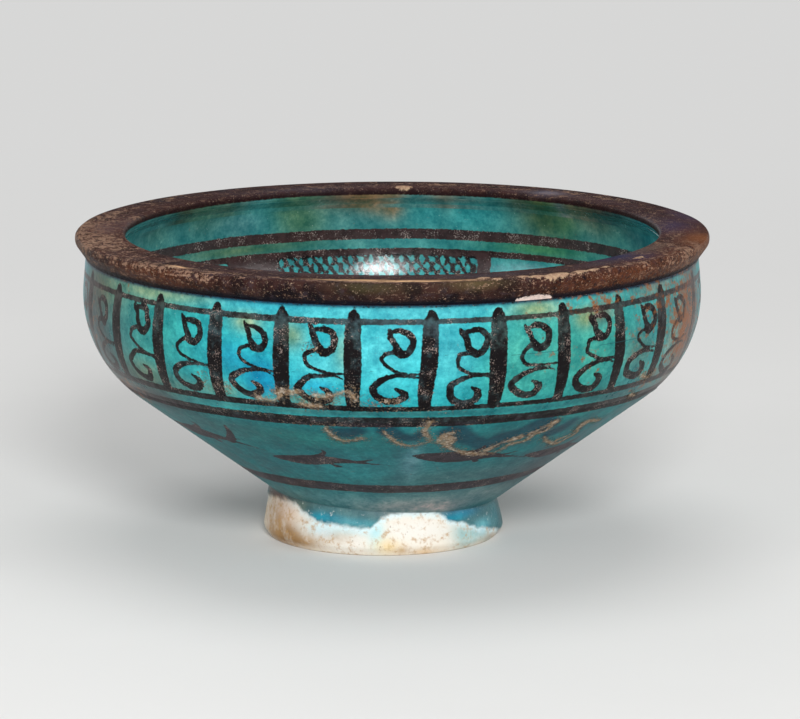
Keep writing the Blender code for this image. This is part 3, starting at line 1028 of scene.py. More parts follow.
# %% The inside's bands, panels and colours
INNER_BAND_ROWS = (228.5, 239)
HATCH_TOP_ROW = 248
HATCH_TALL = 22.0
HATCH_PANELS = 8
HATCH_SHARE = 0.98
HATCH_SHIFT = 4.8
HATCH_PITCH = 3.1
HATCH_HALF_WIDTH = 0.50
HATCH_BORDERS = (2.2, 8.5)
HATCH_RING = 1.1
HATCH_SLANT = 0.62
FLOOR_RING_DOWN = 78
FLOOR_RING = 0.9
INNER_THIN = (0.85, 0.7, 0.6, 0.6, 0.85, 0.2)
INNER_RADIUS = 80.0
INNER_TURQUOISE = (0.050, 0.205, 0.200)
OLIVE = (0.075, 0.125, 0.045)
EARTH = (0.290, 0.130, 0.035)
INNER_SPOTS = [
    ((185, 212), 12, 8, (0.028, 0.130, 0.130), 0.6), ((205, 208), 12, 5, OLIVE, 0.60),
    ((300, 212), 8, 9, OLIVE, 0.80), ((255, 218), 14, 8, TEAL, 0.35),
    ((330, 206), 10, 6, (0.10, 0.21, 0.17), 0.5), ((360, 199), 9, 5, EARTH, 0.85),
    ((391, 209), 4, 3.5, EARTH, 0.95), ((375, 205), 5, 4, EARTH, 0.60),
    ((335, 194), 10, 2, (0.100, 0.050, 0.030), 0.60), ((445, 200), 3, 7, (0.170, 0.110, 0.050), 0.55),
    ((590, 216), 7, 7, (0.130, 0.110, 0.060), 0.65), ((570, 212), 2.0, 8, (0.230, 0.290, 0.260), 0.60),
    ((540, 209), 3, 3, (0.200, 0.230, 0.060), 0.80), ((230, 206), 7, 6, (0.080, 0.110, 0.060), 0.70),
    ((460, 215), 22, 8, TEAL, 0.45), ((450, 192), 12, 2, RUST, 0.35), ((545, 215), 10, 9, OLIVE, 0.85),
    ((565, 218), 7, 9, (0.060, 0.150, 0.050), 0.8), ((610, 225), 14, 8, GREEN, 0.5),
    ((582, 205), 8, 4, RUST, 0.35), ((520, 208), 8, 7, (0.030, 0.110, 0.100), 0.6),
    ((240, 250), 30, 3, OLIVE, 0.8), ((540, 250), 22, 3, (0.04, 0.17, 0.06), 0.85),
    ((185, 214), 6, 4, (0.042, 0.046, 0.024), 0.80), ((205, 222), 7, 5, (0.055, 0.115, 0.080), 0.65),
    ((242, 225), 10, 5, (0.090, 0.175, 0.180), 0.55), ((290, 208), 7, 6, (0.065, 0.150, 0.085), 0.75),
    ((300, 222), 7, 5, (0.050, 0.135, 0.075), 0.75), ((520, 205), 6, 4, (0.055, 0.066, 0.045), 0.65),
    ((545, 216), 8, 7, (0.050, 0.075, 0.028), 0.80), ((575, 213), 7, 4, (0.062, 0.058, 0.034), 0.65),
    ((600, 222), 9, 6, (0.062, 0.072, 0.040), 0.75), ((605, 214), 9, 3, (0.040, 0.018, 0.015), 0.70),
    ((628, 227), 11, 6, (0.036, 0.038, 0.031), 0.75), ((646, 239), 9, 8, (0.034, 0.038, 0.036), 0.75),
    ((560, 205), 2.5, 3, (0.150, 0.150, 0.160), 0.60), ((150, 230), 9, 6, (0.040, 0.100, 0.110), 0.55),
]

# %% Paint the inside
INNER_SWAY = 0.16
INNER_DEEPENS = (12, 34)
INNER_CLOUDS = 40
CLOUD_ANGLES = (-2.2, 2.2)
CLOUD_DOWNS = (0, 60)
CLOUD_SIZES = (5, 20)
CLOUD_TINTS = (TEAL, GREEN, OLIVE, DULL, CYAN)
CLOUD_SHARES = (0.2, 0.5)
inner = surfaces["inner_coat"]


def inside_mark_at_row(row):
    """Distance down the inside, in mm, that the photograph shows at a pixel row of the far wall."""
    back = np.column_stack([np.zeros(len(inside_path)), inside_path[:, 0], inside_path[:, 1]])
    return np.interp(row, pixel_of(back)[:, 1], marks_along(inside_path)) / MM


def crossed_lines(across, down):
    """Depth in a lattice of two families of slanting strokes, in mm."""
    gaps = []
    for side in (-1, 1):
        place = (across + side * HATCH_SLANT * down) / HATCH_PITCH
        gaps.append(np.abs(place % 1 - 0.5) * HATCH_PITCH / math.hypot(1, HATCH_SLANT))
    return HATCH_HALF_WIDTH - np.minimum(*gaps)


wander = waver(inner.angle, 31, INNER_SWAY)
band_top, band_bottom = (inside_mark_at_row(row) for row in INNER_BAND_ROWS)
hatch_top = inside_mark_at_row(HATCH_TOP_ROW)
below = inner.down - wander
panel_angle = 2 * math.pi / HATCH_PANELS
pair_angle = 2 * panel_angle
across = around(inner.angle) - np.round(inner.angle / pair_angle) * pair_angle
across = across * INNER_RADIUS - HATCH_SHIFT
half_panel = HATCH_SHARE * panel_angle * INNER_RADIUS / 2
zone = np.minimum(below - hatch_top, hatch_top + HATCH_TALL - below)
panel_depth = np.minimum(half_panel - np.abs(across), zone)
lattice = np.minimum(crossed_lines(across + wander, below), panel_depth)
border_width = np.where(across < 0, *HATCH_BORDERS)
border = np.minimum(border_width - np.abs(np.abs(across) - half_panel - border_width), zone)
rings = [
    (band_bottom - band_top) / 2 - np.abs(below - (band_top + band_bottom) / 2),
    HATCH_RING - np.abs(below - hatch_top - HATCH_RING),
    HATCH_RING - np.abs(below - hatch_top - HATCH_TALL),
    FLOOR_RING - np.abs(below - FLOOR_RING_DOWN),
]
every = np.flatnonzero(inner.front)
for depth, thin in zip(rings + [border, lattice], INNER_THIN):
    inner.lay_ink(every, np.clip(depth, -FAR, FAR)[every], thin)
print("inner band from", band_top.round(1), "to", band_bottom.round(1), "mm")
print("crossed lines from", hatch_top.round(1), "mm")

# %% Colour the inside
inner_spots = placed(lambda pixel: inner.spot_at(pixel, far_side=True), INNER_SPOTS)
for index in range(INNER_CLOUDS):
    spot = (hand.uniform(*CLOUD_ANGLES), hand.uniform(*CLOUD_DOWNS))
    size = hand.uniform(*CLOUD_SIZES)
    tint = CLOUD_TINTS[hand.integers(len(CLOUD_TINTS))]
    inner_spots.append((spot, size, size * SPOT_FLATNESS, tint, hand.uniform(*CLOUD_SHARES)))
inner_glaze = np.tile(INNER_TURQUOISE, (len(inner.spots), 1))
inner_glaze = mix_in(inner_glaze, smooth_step(inner.down, *INNER_DEEPENS), TEAL)
inner.glaze = lay_spots(inner, inner_glaze, inner_spots)
inner.crack = inner.crust
inner.rust = inner.blank()
inner.grit = inner.blank()
inner.keep(*PAINTED_LAYERS)
close_up(inside)
print(len(inner_spots), "spots of colour inside")

# %% [markdown]
# ## The rim
#
# The flat rim is coated brown-black and worn. Its grain runs round the bowl, so noise for it is read from
# a stretched coordinate, in which a millimetre across the rim counts for more than four millimetres round
# it. The way round is kept as a direction, because a direction has no seam and an angle would have one.

# %% Marks on the rim by pixel
rim_surface = surfaces["rim_coat"]
RIM_CRUSTS = [
    ((484, 278.5), 1.8, 1.5), ((497, 279.5), 1.6, 0.9), ((523, 278.5), 2.0, 1.4), ((537, 278), 2.2, 1.2),
    ((552, 277), 2.6, 1.6), ((562, 275.5), 2.2, 1.6), ((580, 273), 2.4, 1.3), ((594, 270.5), 2.4, 1.2),
    ((605, 268), 1.6, 0.9), ((404, 188), 2.6, 1.6), ((638, 258), 2.6, 0.9), ((175, 268), 2.6, 1.0),
]
RIM_CHIP = [(520, 301), (528, 300), (538, 299), (546, 298)]
CHIP_HALF_WIDTHS = (1.3, 1.9, 2.1, 1.4)
# Painted highlight: a gold line along the rim's front top edge stands for light on its rounding.
RIM_PAINTED_HIGHLIGHT = [
    ((398, 281.2), 11, 1.3, 1.0), ((368, 280.7), 7, 1.0, 0.85), ((336, 279.5), 7, 0.9, 0.75),
    ((432, 281.2), 7, 1.0, 0.75), ((462, 280.6), 6, 0.9, 0.65), ((178, 267), 3.5, 0.9, 0.9),
]
RIM_WORN = [
    ((95, 240), 34, 9, 0.80), ((85, 225), 26, 10, 0.75), ((160, 266), 30, 4, 0.65),
    # The worn spot at pixel (400, 282) is partly wear and partly painted highlight along the front edge.
    ((400, 282), 26, 1.6, 0.8), ((300, 279), 46, 2.0, 0.28), ((500, 278), 22, 2.0, 0.5),
    ((570, 275), 22, 2.4, 0.50), ((640, 262), 20, 2.6, 0.5), ((690, 250), 26, 8, 0.55),
    ((200, 270), 20, 2.4, 0.55), ((662, 245), 8, 4, 0.50), ((230, 200), 40, 6, 0.30),
    ((330, 187), 20, 5, 0.40), ((420, 186), 16, 4, 0.45),
]
RIM_TONES = [
    ((620, 257), 15, 7, (0.008, 0.018, 0.062), 1.00), ((670, 226), 20, 9, (0.034, 0.026, 0.062), 0.95),
    ((640, 215), 16, 3.5, (0.016, 0.004, 0.006), 0.95), ((200, 200), 34, 5, (0.026, 0.009, 0.009), 0.90),
    ((470, 188), 30, 4, (0.040, 0.014, 0.014), 0.85), ((160, 207), 16, 4, (0.030, 0.010, 0.010), 0.85),
    ((380, 187), 24, 4, (0.060, 0.024, 0.022), 0.70), ((700, 238), 14, 8, (0.170, 0.062, 0.024), 0.95),
    ((688, 216), 18, 6, (0.045, 0.030, 0.055), 0.90), ((640, 257), 10, 5, (0.010, 0.018, 0.058), 1.00),
    ((600, 264), 12, 3.5, (0.045, 0.034, 0.044), 0.85), ((650, 226), 14, 6, (0.058, 0.038, 0.046), 0.90),
    ((105, 228), 16, 6, (0.095, 0.062, 0.066), 0.85), ((600, 200), 20, 4, (0.050, 0.026, 0.030), 0.80),
    ((548, 193), 8, 6, (0.150, 0.140, 0.180), 0.80), ((652, 248), 12, 5, (0.110, 0.078, 0.066), 0.70),
    ((480, 276), 26, 5, (0.045, 0.036, 0.044), 0.70), ((330, 275), 40, 4, (0.060, 0.038, 0.042), 0.65),
    ((125, 224), 18, 7, (0.075, 0.050, 0.055), 0.75), ((300, 189), 20, 6, (0.045, 0.036, 0.048), 0.65),
    ((370, 288), 14, 3, (0.060, 0.050, 0.020), 0.60), ((475, 284), 12, 3, (0.110, 0.085, 0.035), 0.55),
]
# Painted shadow under the ledge reaches this far along the rim's outline, in mm.
UNDER_SHADOW_EDGE = (0.9, 2.7)
RIM_RUDDY = [
    ((690, 262), 40, 12, 0.9), ((650, 285), 30, 6, 0.7), ((95, 235), 40, 14, 0.5),
    ((600, 284), 22, 5, 0.8), ((640, 276), 22, 6, 0.9), ((150, 274), 24, 5, 0.6),
]
RIM_BROWN = (0.038, 0.0155, 0.0125)

# %% Paint the rim
FAR_RIM_ROW = 236
BACK_SCUFFS = 30
SCUFF_DOWNS = (3, 24)
SCUFF_SHARES = (0.2, 0.6)
SCUFF_WIDTHS = (6, 26)
SCUFF_TALL = 3
LUMP_TAPERS = (0.4, 0.3)
GRAIN_ROUND = 12
GRAIN_ACROSS = 0.55
INNER_EDGE = 6.4
INNER_EDGE_SWAY = 0.12
LIP_FADE = 12


def rim_spot(pixel):
    """Place on the rim at a pixel: on its far side above one row, and on its near side below it."""
    return rim_surface.spot_at(pixel, far_side=pixel[1] < FAR_RIM_ROW)


ruddy = strongest(rim_surface, placed(rim_surface.spot_at, RIM_RUDDY))
painted_highlight = strongest(rim_surface, placed(rim_surface.spot_at, RIM_PAINTED_HIGHLIGHT))
tone_spots = placed(rim_spot, RIM_TONES)
tone = np.tile(RIM_BROWN, (len(rim_surface.spots), 1))
tone = lay_spots(rim_surface, tone, [(*spot[:4], 1.0) for spot in tone_spots])
toned = strongest(rim_surface, [(*spot[:3], spot[4]) for spot in tone_spots])
worn_spots = placed(rim_spot, RIM_WORN)
for index in range(BACK_SCUFFS):
    spot = (hand.uniform(*BACK_SIDE), hand.uniform(*SCUFF_DOWNS))
    share = hand.uniform(*SCUFF_SHARES)
    worn_spots.append((spot, hand.uniform(*SCUFF_WIDTHS), SCUFF_TALL, share))
worn = strongest(rim_surface, worn_spots)
for pixel, wide, tall in RIM_CRUSTS:
    blob = [(-wide, 0, tall * LUMP_TAPERS[0]), (0, 0, tall), (wide, 0, tall * LUMP_TAPERS[1])]
    rim_surface.brush(rim_surface.crust, rim_spot(pixel), blob)
rim_surface.chip = rim_surface.blank(-FAR)
chip = [rim_surface.spot_at(pixel) for pixel in RIM_CHIP]
chip_points = stroke_points(chip, CHIP_HALF_WIDTHS, RIM_RADIUS / MM)
rim_surface.brush(rim_surface.chip, chip[0], chip_points)
direction = rim_surface.spots[:, :2] / (rim_surface.radius[:, None] * MM)
grain = np.column_stack([direction * GRAIN_ROUND, rim_surface.down * GRAIN_ACROSS])
inner_edge = marks_along(rim_path)[-1] / MM - INNER_EDGE + waver(rim_surface.angle, 43, INNER_EDGE_SWAY)
rim_glaze = np.tile(INNER_TURQUOISE, (len(rim_surface.spots), 1))
for (angle, down), wide, tall, tint, share in inner_spots:
    across = around(rim_surface.angle - angle) * rim_surface.radius
    rim_glaze = mix_in(rim_glaze, share * np.exp(-(across / wide) ** 2 - (down / LIP_FADE) ** 2), tint)
print(len(worn_spots), "worn places and", len(tone_spots), "tones on the rim")

# %% Wear the rim's edges
EDGE_WOBBLE = 0.00022
CRUST_LUMP = 0.00055
CHIP_DEPTH = 0.00006
LUMP_EDGE = (-0.5, 0.8)
CHIP_EDGE = (-0.2, 0.6)
WORN_RADII = (RIM_RADIUS - 0.006, RIM_RADIUS - 0.001)
FLAT_TOP = (BOWL_HEIGHT - 0.0004, BOWL_HEIGHT - 0.00005)
UNDER_SHADOW_SWAY = 0.2
outwards = np.column_stack([direction, np.zeros(len(direction))])
wobble = EDGE_WOBBLE * waver(rim_surface.angle, 41, 1.0)
lump = CRUST_LUMP * smooth_step(rim_surface.crust, *LUMP_EDGE)
dent = CHIP_DEPTH * smooth_step(rim_surface.chip, *CHIP_EDGE)
lift = np.column_stack([np.zeros((len(direction), 2)), lump])
edge = smooth_step(rim_surface.radius * MM, *WORN_RADII)
move_spots(rim, rim_surface.spots + outwards * (wobble * edge - dent)[:, None] + lift)
under_shadow_down = rim_surface.down + waver(rim_surface.angle, 45, UNDER_SHADOW_SWAY)
rim_layers = {
    "worn": worn,
    "ruddy": ruddy,
    "painted_highlight": painted_highlight,
    "flat": smooth_step(rim_surface.spots[:, 2], *FLAT_TOP),
    "tone": tone,
    "toned": toned,
    # Painted shadow under the ledge.
    "under": 1 - smooth_step(under_shadow_down, *UNDER_SHADOW_EDGE),
    "crust": rim_surface.crust,
    "chip": rim_surface.chip,
    "grain": grain,
    "glaze": rim_glaze,
    "glazed": rim_surface.down - inner_edge,
}
for layer, values in rim_layers.items():
    store(rim, layer, values)
close_up(rim)
print("lumps on the rim stand up to", round(lump.max() / MM, 2), "mm high")

# %% [markdown]
# ## The foot's glaze
#
# The foot is bare cream stonepaste. Glaze ran down the neck in washes of blue and turquoise, and burial
# left brown and ochre marks. The washes are laid at the photograph's pixels, as on the wall. The glaze's
# edge could be cut as a mesh edge, but a kept distance from it lets the finish fray it with noise.

# %% Marks on the foot by pixel
foot_surface = surfaces["glazed_foot"]
FOOT_CREAM = (0.75, 0.65, 0.52)
FOOT_WHITE = (0.76, 0.74, 0.69)
FOOT_PINK = (0.66, 0.50, 0.40)
FOOT_OCHRE = (0.46, 0.27, 0.11)
FOOT_EARTH = (0.290, 0.160, 0.060)
FOOT_BROWN = (0.120, 0.062, 0.045)
FOOT_CYAN = (0.002, 0.245, 0.345)
FOOT_BLUE = (0.003, 0.180, 0.330)
FOOT_TURQUOISE = (0.130, 0.400, 0.430)
FOOT_HAZE = (0.250, 0.262, 0.270)
FOOT_WET = (0.62, 0.78, 0.82)
DRY_PIXEL = (277, 500)
TIDE_PIXELS = [
    (266, 494), (283, 498), (296, 503), (305, 512), (318, 521), (340, 525), (360, 528), (372, 528),
    (383, 518), (395, 513), (425, 512), (440, 515), (450, 521), (465, 523), (476, 527), (488, 528),
    (501, 531),
]
BARE_SPOTS = [
    ((420, 530), 22, 7, FOOT_WHITE, 0.9), ((340, 540), 14, 5, FOOT_WHITE, 0.8),
    ((283, 510), 10, 8, FOOT_PINK, 0.90), ((275, 522), 6, 5, (0.380, 0.255, 0.165), 0.85),
    ((285, 538), 8, 3, (0.240, 0.130, 0.050), 0.90), ((280, 529), 6, 3, FOOT_OCHRE, 0.80),
    ((288, 534), 6, 2.6, FOOT_EARTH, 0.95), ((299, 540), 8, 1.8, FOOT_EARTH, 0.90),
    ((310, 537), 4, 2, FOOT_OCHRE, 0.65), ((337, 537), 4, 1.6, FOOT_OCHRE, 0.65),
    ((322, 534), 3, 1.2, FOOT_EARTH, 0.50), ((402, 550), 2.2, 1.4, FOOT_OCHRE, 0.8),
    ((320, 529), 7, 2.2, FOOT_WET, 0.80), ((376, 532), 2.5, 5, (0.450, 0.740, 0.780), 0.85),
    ((387, 547), 4, 2.5, (0.75, 0.55, 0.22), 0.7), ((424, 552), 4, 1.5, (0.70, 0.45, 0.20), 0.6),
    ((465, 533), 5, 5, FOOT_TURQUOISE, 0.75), ((482, 529), 5.5, 3.5, (0.150, 0.440, 0.500), 0.90),
    ((471, 539), 3, 2, (0.330, 0.560, 0.560), 0.60), ((489, 537), 4, 2.5, (0.330, 0.460, 0.430), 0.70),
    ((492, 534), 4, 2, FOOT_PINK, 0.50), ((350, 530), 8, 1.6, FOOT_TURQUOISE, 0.35),
]
GLAZE_SPOTS = [
    ((322, 518), 7, 1.6, FOOT_CYAN, 0.95), ((345, 522), 7, 1.3, (0.060, 0.250, 0.310), 0.80),
    ((364, 524), 5, 1.4, (0.090, 0.330, 0.370), 0.85), ((461, 513), 8, 1.6, FOOT_BLUE, 0.60),
    ((452, 518), 6, 1.5, FOOT_CYAN, 0.85), ((494, 513), 5, 6, (0.042, 0.205, 0.240), 0.80),
    ((482, 524), 5, 2.4, (0.140, 0.440, 0.510), 0.85), ((410, 508), 12, 2.5, FOOT_HAZE, 0.85),
    ((278, 496), 11, 1.8, FOOT_BROWN, 0.95), ((300, 506), 5, 2.2, (0.090, 0.130, 0.105), 0.85),
]
NECK_TINT = (0.064, 0.150, 0.160)

# %% The edge of the glaze on the foot
BACK_MARKS = 48
BACK_DRIFT = 1.3
BACK_SETTLE = 0.12
TIDE_SWAY = 0.10
angles, heights = zip(*sorted(foot_surface.spot_at(pixel) for pixel in TIDE_PIXELS))
back_angles = np.linspace(angles[-1], angles[0] + 2 * math.pi, BACK_MARKS + 2)[1:-1]
along_back = np.linspace(0, 1, BACK_MARKS + 2)[1:-1]
settled = smooth_step(np.minimum(along_back, 1 - along_back), 0, BACK_SETTLE)
ends = heights[-1] + (heights[0] - heights[-1]) * smooth_step(along_back, 0, 1)
back_heights = ends + (np.mean(heights) - ends) * settled + settled * waver(back_angles, 61, BACK_DRIFT)
tide_marks = [*heights, *back_heights]
tide = np.interp(foot_surface.angle, [*angles, *back_angles], tide_marks, period=2 * math.pi)
glazed = foot_surface.down - tide - waver(foot_surface.angle, 51, TIDE_SWAY)
tucked = ~foot_surface.front & (foot_surface.spots[:, 2] > FLARE_HEIGHT)
glazed[tucked] = FAR
print("glaze ends from", round(min(tide_marks), 1), "to", round(max(tide_marks), 1), "mm along the foot")

# %% Paint the foot
RUN_RELIEF = 0.00045
RUN_EDGE = (-0.4, 0.8)
NECK_END = 3.5
NECK_FADE = 2
BARE_TINTS = (FOOT_WHITE, FOOT_OCHRE, FOOT_PINK, FOOT_EARTH)
BARE_RISE = -7
RUN_TINTS = (FOOT_CYAN, FOOT_BLUE, FOOT_TURQUOISE)
RUN_RISE = 1
BACK_WASHES = 11
WASH_DRIFT = 1.5
WASH_WIDTHS = (4, 11)
WASH_HEIGHTS = (1.4, 3.0)
WASH_SHARES = (0.4, 0.9)
DRY_SHARE = 0.95
DRY_SIZE = (14, 9)


def back_foot_spots(tints, rise):
    """Seeded spots for the unseen side of the foot, at a height from the glaze's edge."""
    spots = []
    for angle in hand.uniform(back_angles[0], back_angles[-1], BACK_WASHES):
        place = (angle, np.mean(heights) + rise + hand.normal(0, WASH_DRIFT))
        tint = tints[hand.integers(len(tints))]
        size = (hand.uniform(*WASH_WIDTHS), hand.uniform(*WASH_HEIGHTS))
        spots.append((place, *size, tint, hand.uniform(*WASH_SHARES)))
    return spots


bare_spots = placed(foot_surface.spot_at, BARE_SPOTS) + back_foot_spots(BARE_TINTS, BARE_RISE)
bare = np.tile(FOOT_CREAM, (len(foot_surface.spots), 1))
bare = lay_spots(foot_surface, bare, bare_spots)
run_spots = placed(foot_surface.spot_at, GLAZE_SPOTS) + back_foot_spots(RUN_TINTS, RUN_RISE)
run = np.tile(NECK_TINT, (len(foot_surface.spots), 1))
run = lay_spots(foot_surface, run, run_spots)
neck_end = foot_surface.down.max() - NECK_END
below_neck = 1 - smooth_step(foot_surface.down, neck_end, neck_end + NECK_FADE)
thick = smooth_step(glazed, *RUN_EDGE) * below_neck
own_axis = foot_surface.spots - np.array([FOOT_OFFSET, 0, 0])
own_axis[:, 2] = 0
own_axis /= np.linalg.norm(own_axis, axis=1)[:, None]
move_spots(foot, foot_surface.spots + own_axis * (RUN_RELIEF * thick * foot_surface.front)[:, None])
dry_spot = foot_surface.spot_at(DRY_PIXEL)
store(foot, "bare", bare)
store(foot, "run", run)
store(foot, "glazed", glazed)
store(foot, "wet", 1 - DRY_SHARE * soft_spot(foot_surface, dry_spot, *DRY_SIZE))
close_up(foot)
print("glaze on the foot stands up to", round(RUN_RELIEF * thick.max() / MM, 2), "mm proud")

# %% [markdown]
# ## Mixing the finishes
#
# A finish is a small recipe of nodes. A helper keeps each recipe readable: it reads a kept number, makes
# noise at a size in millimetres, and blends colours by a share.

# %% Recipe helper
class Recipe:
    """A material's nodes, added one step at a time."""

    def __init__(self, name):
        self.material = bpy.data.materials.new(name)
        self.material.use_nodes = True
        self.tree = self.material.node_tree
        self.shader = self.tree.nodes["Principled BSDF"]
        self.place = self.add("ShaderNodeTexCoord").outputs["Object"]

    def add(self, kind, **settings):
        """A new node of a kind, with settings."""
        node = self.tree.nodes.new(kind)
        for name, value in settings.items():
            setattr(node, name, value)
        return node

    def feed(self, socket, value):
        """Give a socket another node's output, a colour or a number."""
        if isinstance(value, bpy.types.NodeSocket):
            self.tree.links.new(value, socket)
        elif isinstance(value, tuple):
            socket.default_value = (*value, 1) if len(value) == 3 and socket.type == "RGBA" else value
        else:
            socket.default_value = value

    def number(self, name):
        """A number that was stored on the piece's points."""
        return self.add("ShaderNodeAttribute", attribute_name=name).outputs["Fac"]

    def colour(self, name):
        """A colour that was stored on the piece's points."""
        return self.add("ShaderNodeAttribute", attribute_name=name).outputs["Color"]

    def noise(self, size, detail, rough, at=None):
        """Noise with features of about a size in millimetres, or in units of another coordinate."""
        node = self.add("ShaderNodeTexNoise")
        self.feed(node.inputs["Vector"], self.place if at is None else at)
        self.feed(node.inputs["Scale"], 1 / (size * MM) if at is None else 1 / size)
        self.feed(node.inputs["Detail"], detail)
        self.feed(node.inputs["Roughness"], rough)
        return node.outputs["Fac"]

    def cells(self, size):
        """Distance from the edges of crackle cells of a size in millimetres."""
        node = self.add("ShaderNodeTexVoronoi", feature="DISTANCE_TO_EDGE")
        self.feed(node.inputs["Vector"], self.place)
        self.feed(node.inputs["Scale"], 1 / (size * MM))
        return node.outputs["Distance"]

    def reckon(self, operation, first, second):
        """One sum of two values; the next four methods name its kinds."""
        node = self.add("ShaderNodeMath", operation=operation)
        self.feed(node.inputs[0], first)
        self.feed(node.inputs[1], second)
        return node.outputs[0]

    def plus(self, first, second):
        return self.reckon("ADD", first, second)

    def minus(self, first, second):
        return self.reckon("SUBTRACT", first, second)

    def times(self, first, second):
        return self.reckon("MULTIPLY", first, second)

    def larger(self, first, second):
        return self.reckon("MAXIMUM", first, second)

    def rise(self, value, low, high, to_low=0.0, to_high=1.0):
        """Take a value from one range to another along a smooth slope."""
        node = self.add("ShaderNodeMapRange", interpolation_type="SMOOTHSTEP")
        for name, number in zip(("Value", "From Min", "From Max", "To Min", "To Max"),
                                (value, low, high, to_low, to_high)):
            self.feed(node.inputs[name], number)
        return node.outputs["Result"]

    def blend(self, share, first, second, kind="MIX"):
        """Lay the second colour over the first by a share."""
        node = self.add("ShaderNodeMix", data_type="RGBA", blend_type=kind)
        self.feed(node.inputs[0], share)
        self.feed(node.inputs[6], first)
        self.feed(node.inputs[7], second)
        return node.outputs[2]

    def level(self, share, first, second):
        """Go from the first number to the second by a share."""
        node = self.add("ShaderNodeMix", data_type="FLOAT")
        self.feed(node.inputs[0], share)
        self.feed(node.inputs[2], first)
        self.feed(node.inputs[3], second)
        return node.outputs[0]

    def bump(self, height, depth, normal=None):
        """Relief of a depth in millimetres."""
        node = self.add("ShaderNodeBump")
        self.feed(node.inputs["Height"], height)
        self.feed(node.inputs["Distance"], depth * MM)
        self.feed(node.inputs["Strength"], 1.0)
        if normal is not None:
            self.feed(node.inputs["Normal"], normal)
        return node.outputs["Normal"]

    def pour(self, **inputs):
        """Feed the shader and return the finished material."""
        for name, value in inputs.items():
            self.feed(self.shader.inputs[name.replace("_", " ")], value)
        return self.material


# %% [markdown]
# ## The turquoise glaze over the painting
#
# The finish reads the kept glaze colour, mottles it, then lays the ink where its depth is above zero.
# Ink is thin in places, so the glaze shows through as brown. Pale specks are pinholes in the glaze, and
# the crust is dry and rough.

# %% Layers of the turquoise finish
INK = (0.0024, 0.0014, 0.0020)
WASH_INK = (0.036, 0.015, 0.017)
BROWN_WASH = (0.046, 0.017, 0.017)
PLUM_WASH = (0.034, 0.011, 0.018)
CRUST_PALE = (0.560, 0.480, 0.390)
CRUST_TAN = (0.330, 0.225, 0.130)
CRUST_BROWN = (0.130, 0.075, 0.045)
PALE_SPECK = (0.330, 0.250, 0.220)
PIT_TINT = (0.50, 0.54, 0.50)
CRACK_TINT = (0.010, 0.060, 0.070)
FLECK_RUST = (0.220, 0.072, 0.018)
DEEP_SHADE = (0.42, 0.68, 0.73)
LIGHT_SHADE = (1.45, 1.24, 1.20)
BLOOM_TINT = (0.62, 0.55, 0.70)
BLOOM_SPREAD = 0.28


def mottled_glaze(recipe, clouds):
    """The kept glaze colour, clouded by noise and finely crackled."""
    glaze = recipe.colour("glaze")
    for cloud, strength in clouds:
        shade = recipe.blend(recipe.rise(cloud, 0.32, 0.68), DEEP_SHADE, LIGHT_SHADE)
        glaze = recipe.blend(strength, glaze, shade, "MULTIPLY")
    crackle = recipe.rise(recipe.cells(3.4), 0.0, 0.03, 0.14, 0)
    return recipe.blend(crackle, glaze, CRACK_TINT)


def inked(recipe, glaze, fray, wash, cover):
    """Ink with frayed edges over the glaze, and how far pale grains stand in it.

    Ink that is thin has the wash colour and hides the glaze by the cover."""
    ink = recipe.rise(recipe.plus(recipe.number("ink"), fray), -0.12, 0.18)
    patchy = recipe.rise(recipe.noise(2.8, 4, 0.6), 0.35, 0.75, -0.3, 0.45)
    thin = recipe.rise(recipe.plus(recipe.number("thin"), patchy), 0.0, 1.0)
    hiding = recipe.times(ink, recipe.level(thin, 1.0, cover))
    painted = recipe.blend(hiding, glaze, recipe.blend(thin, INK, wash))
    cluster = recipe.rise(recipe.noise(5.5, 4, 0.65), 0.43, 0.68, 0.0, 0.16)
    grains = recipe.plus(recipe.noise(0.42, 3, 0.6), cluster)
    lifted = recipe.times(recipe.rise(grains, 0.65, 0.77, 0, 0.75), ink)
    return recipe.blend(lifted, painted, PALE_SPECK), lifted


def crusted(recipe, fine):
    """How far crust and crumbs hide the glaze, and their colour."""
    ragged = recipe.times(recipe.minus(recipe.noise(1.0, 7, 0.85), 0.53), 4.6)
    crust = recipe.rise(recipe.plus(recipe.number("crust"), ragged), -0.45, 0.75, 0, 0.88)
    crust = recipe.times(crust, recipe.rise(recipe.number("crust"), -1.6, -0.6))
    tint = recipe.blend(recipe.rise(fine, 0.36, 0.56), CRUST_BROWN, CRUST_TAN)
    tint = recipe.blend(recipe.rise(recipe.noise(0.9, 4, 0.7), 0.46, 0.66), tint, CRUST_PALE)
    crumbs = recipe.plus(recipe.noise(0.8, 5, 0.75), recipe.times(recipe.number("grit"), 0.21))
    gritty = recipe.rise(recipe.number("grit"), 0.06, 0.35)
    crumbs = recipe.times(recipe.rise(crumbs, 0.645, 0.735, 0, 0.85), gritty)
    return recipe.larger(crust, crumbs), tint


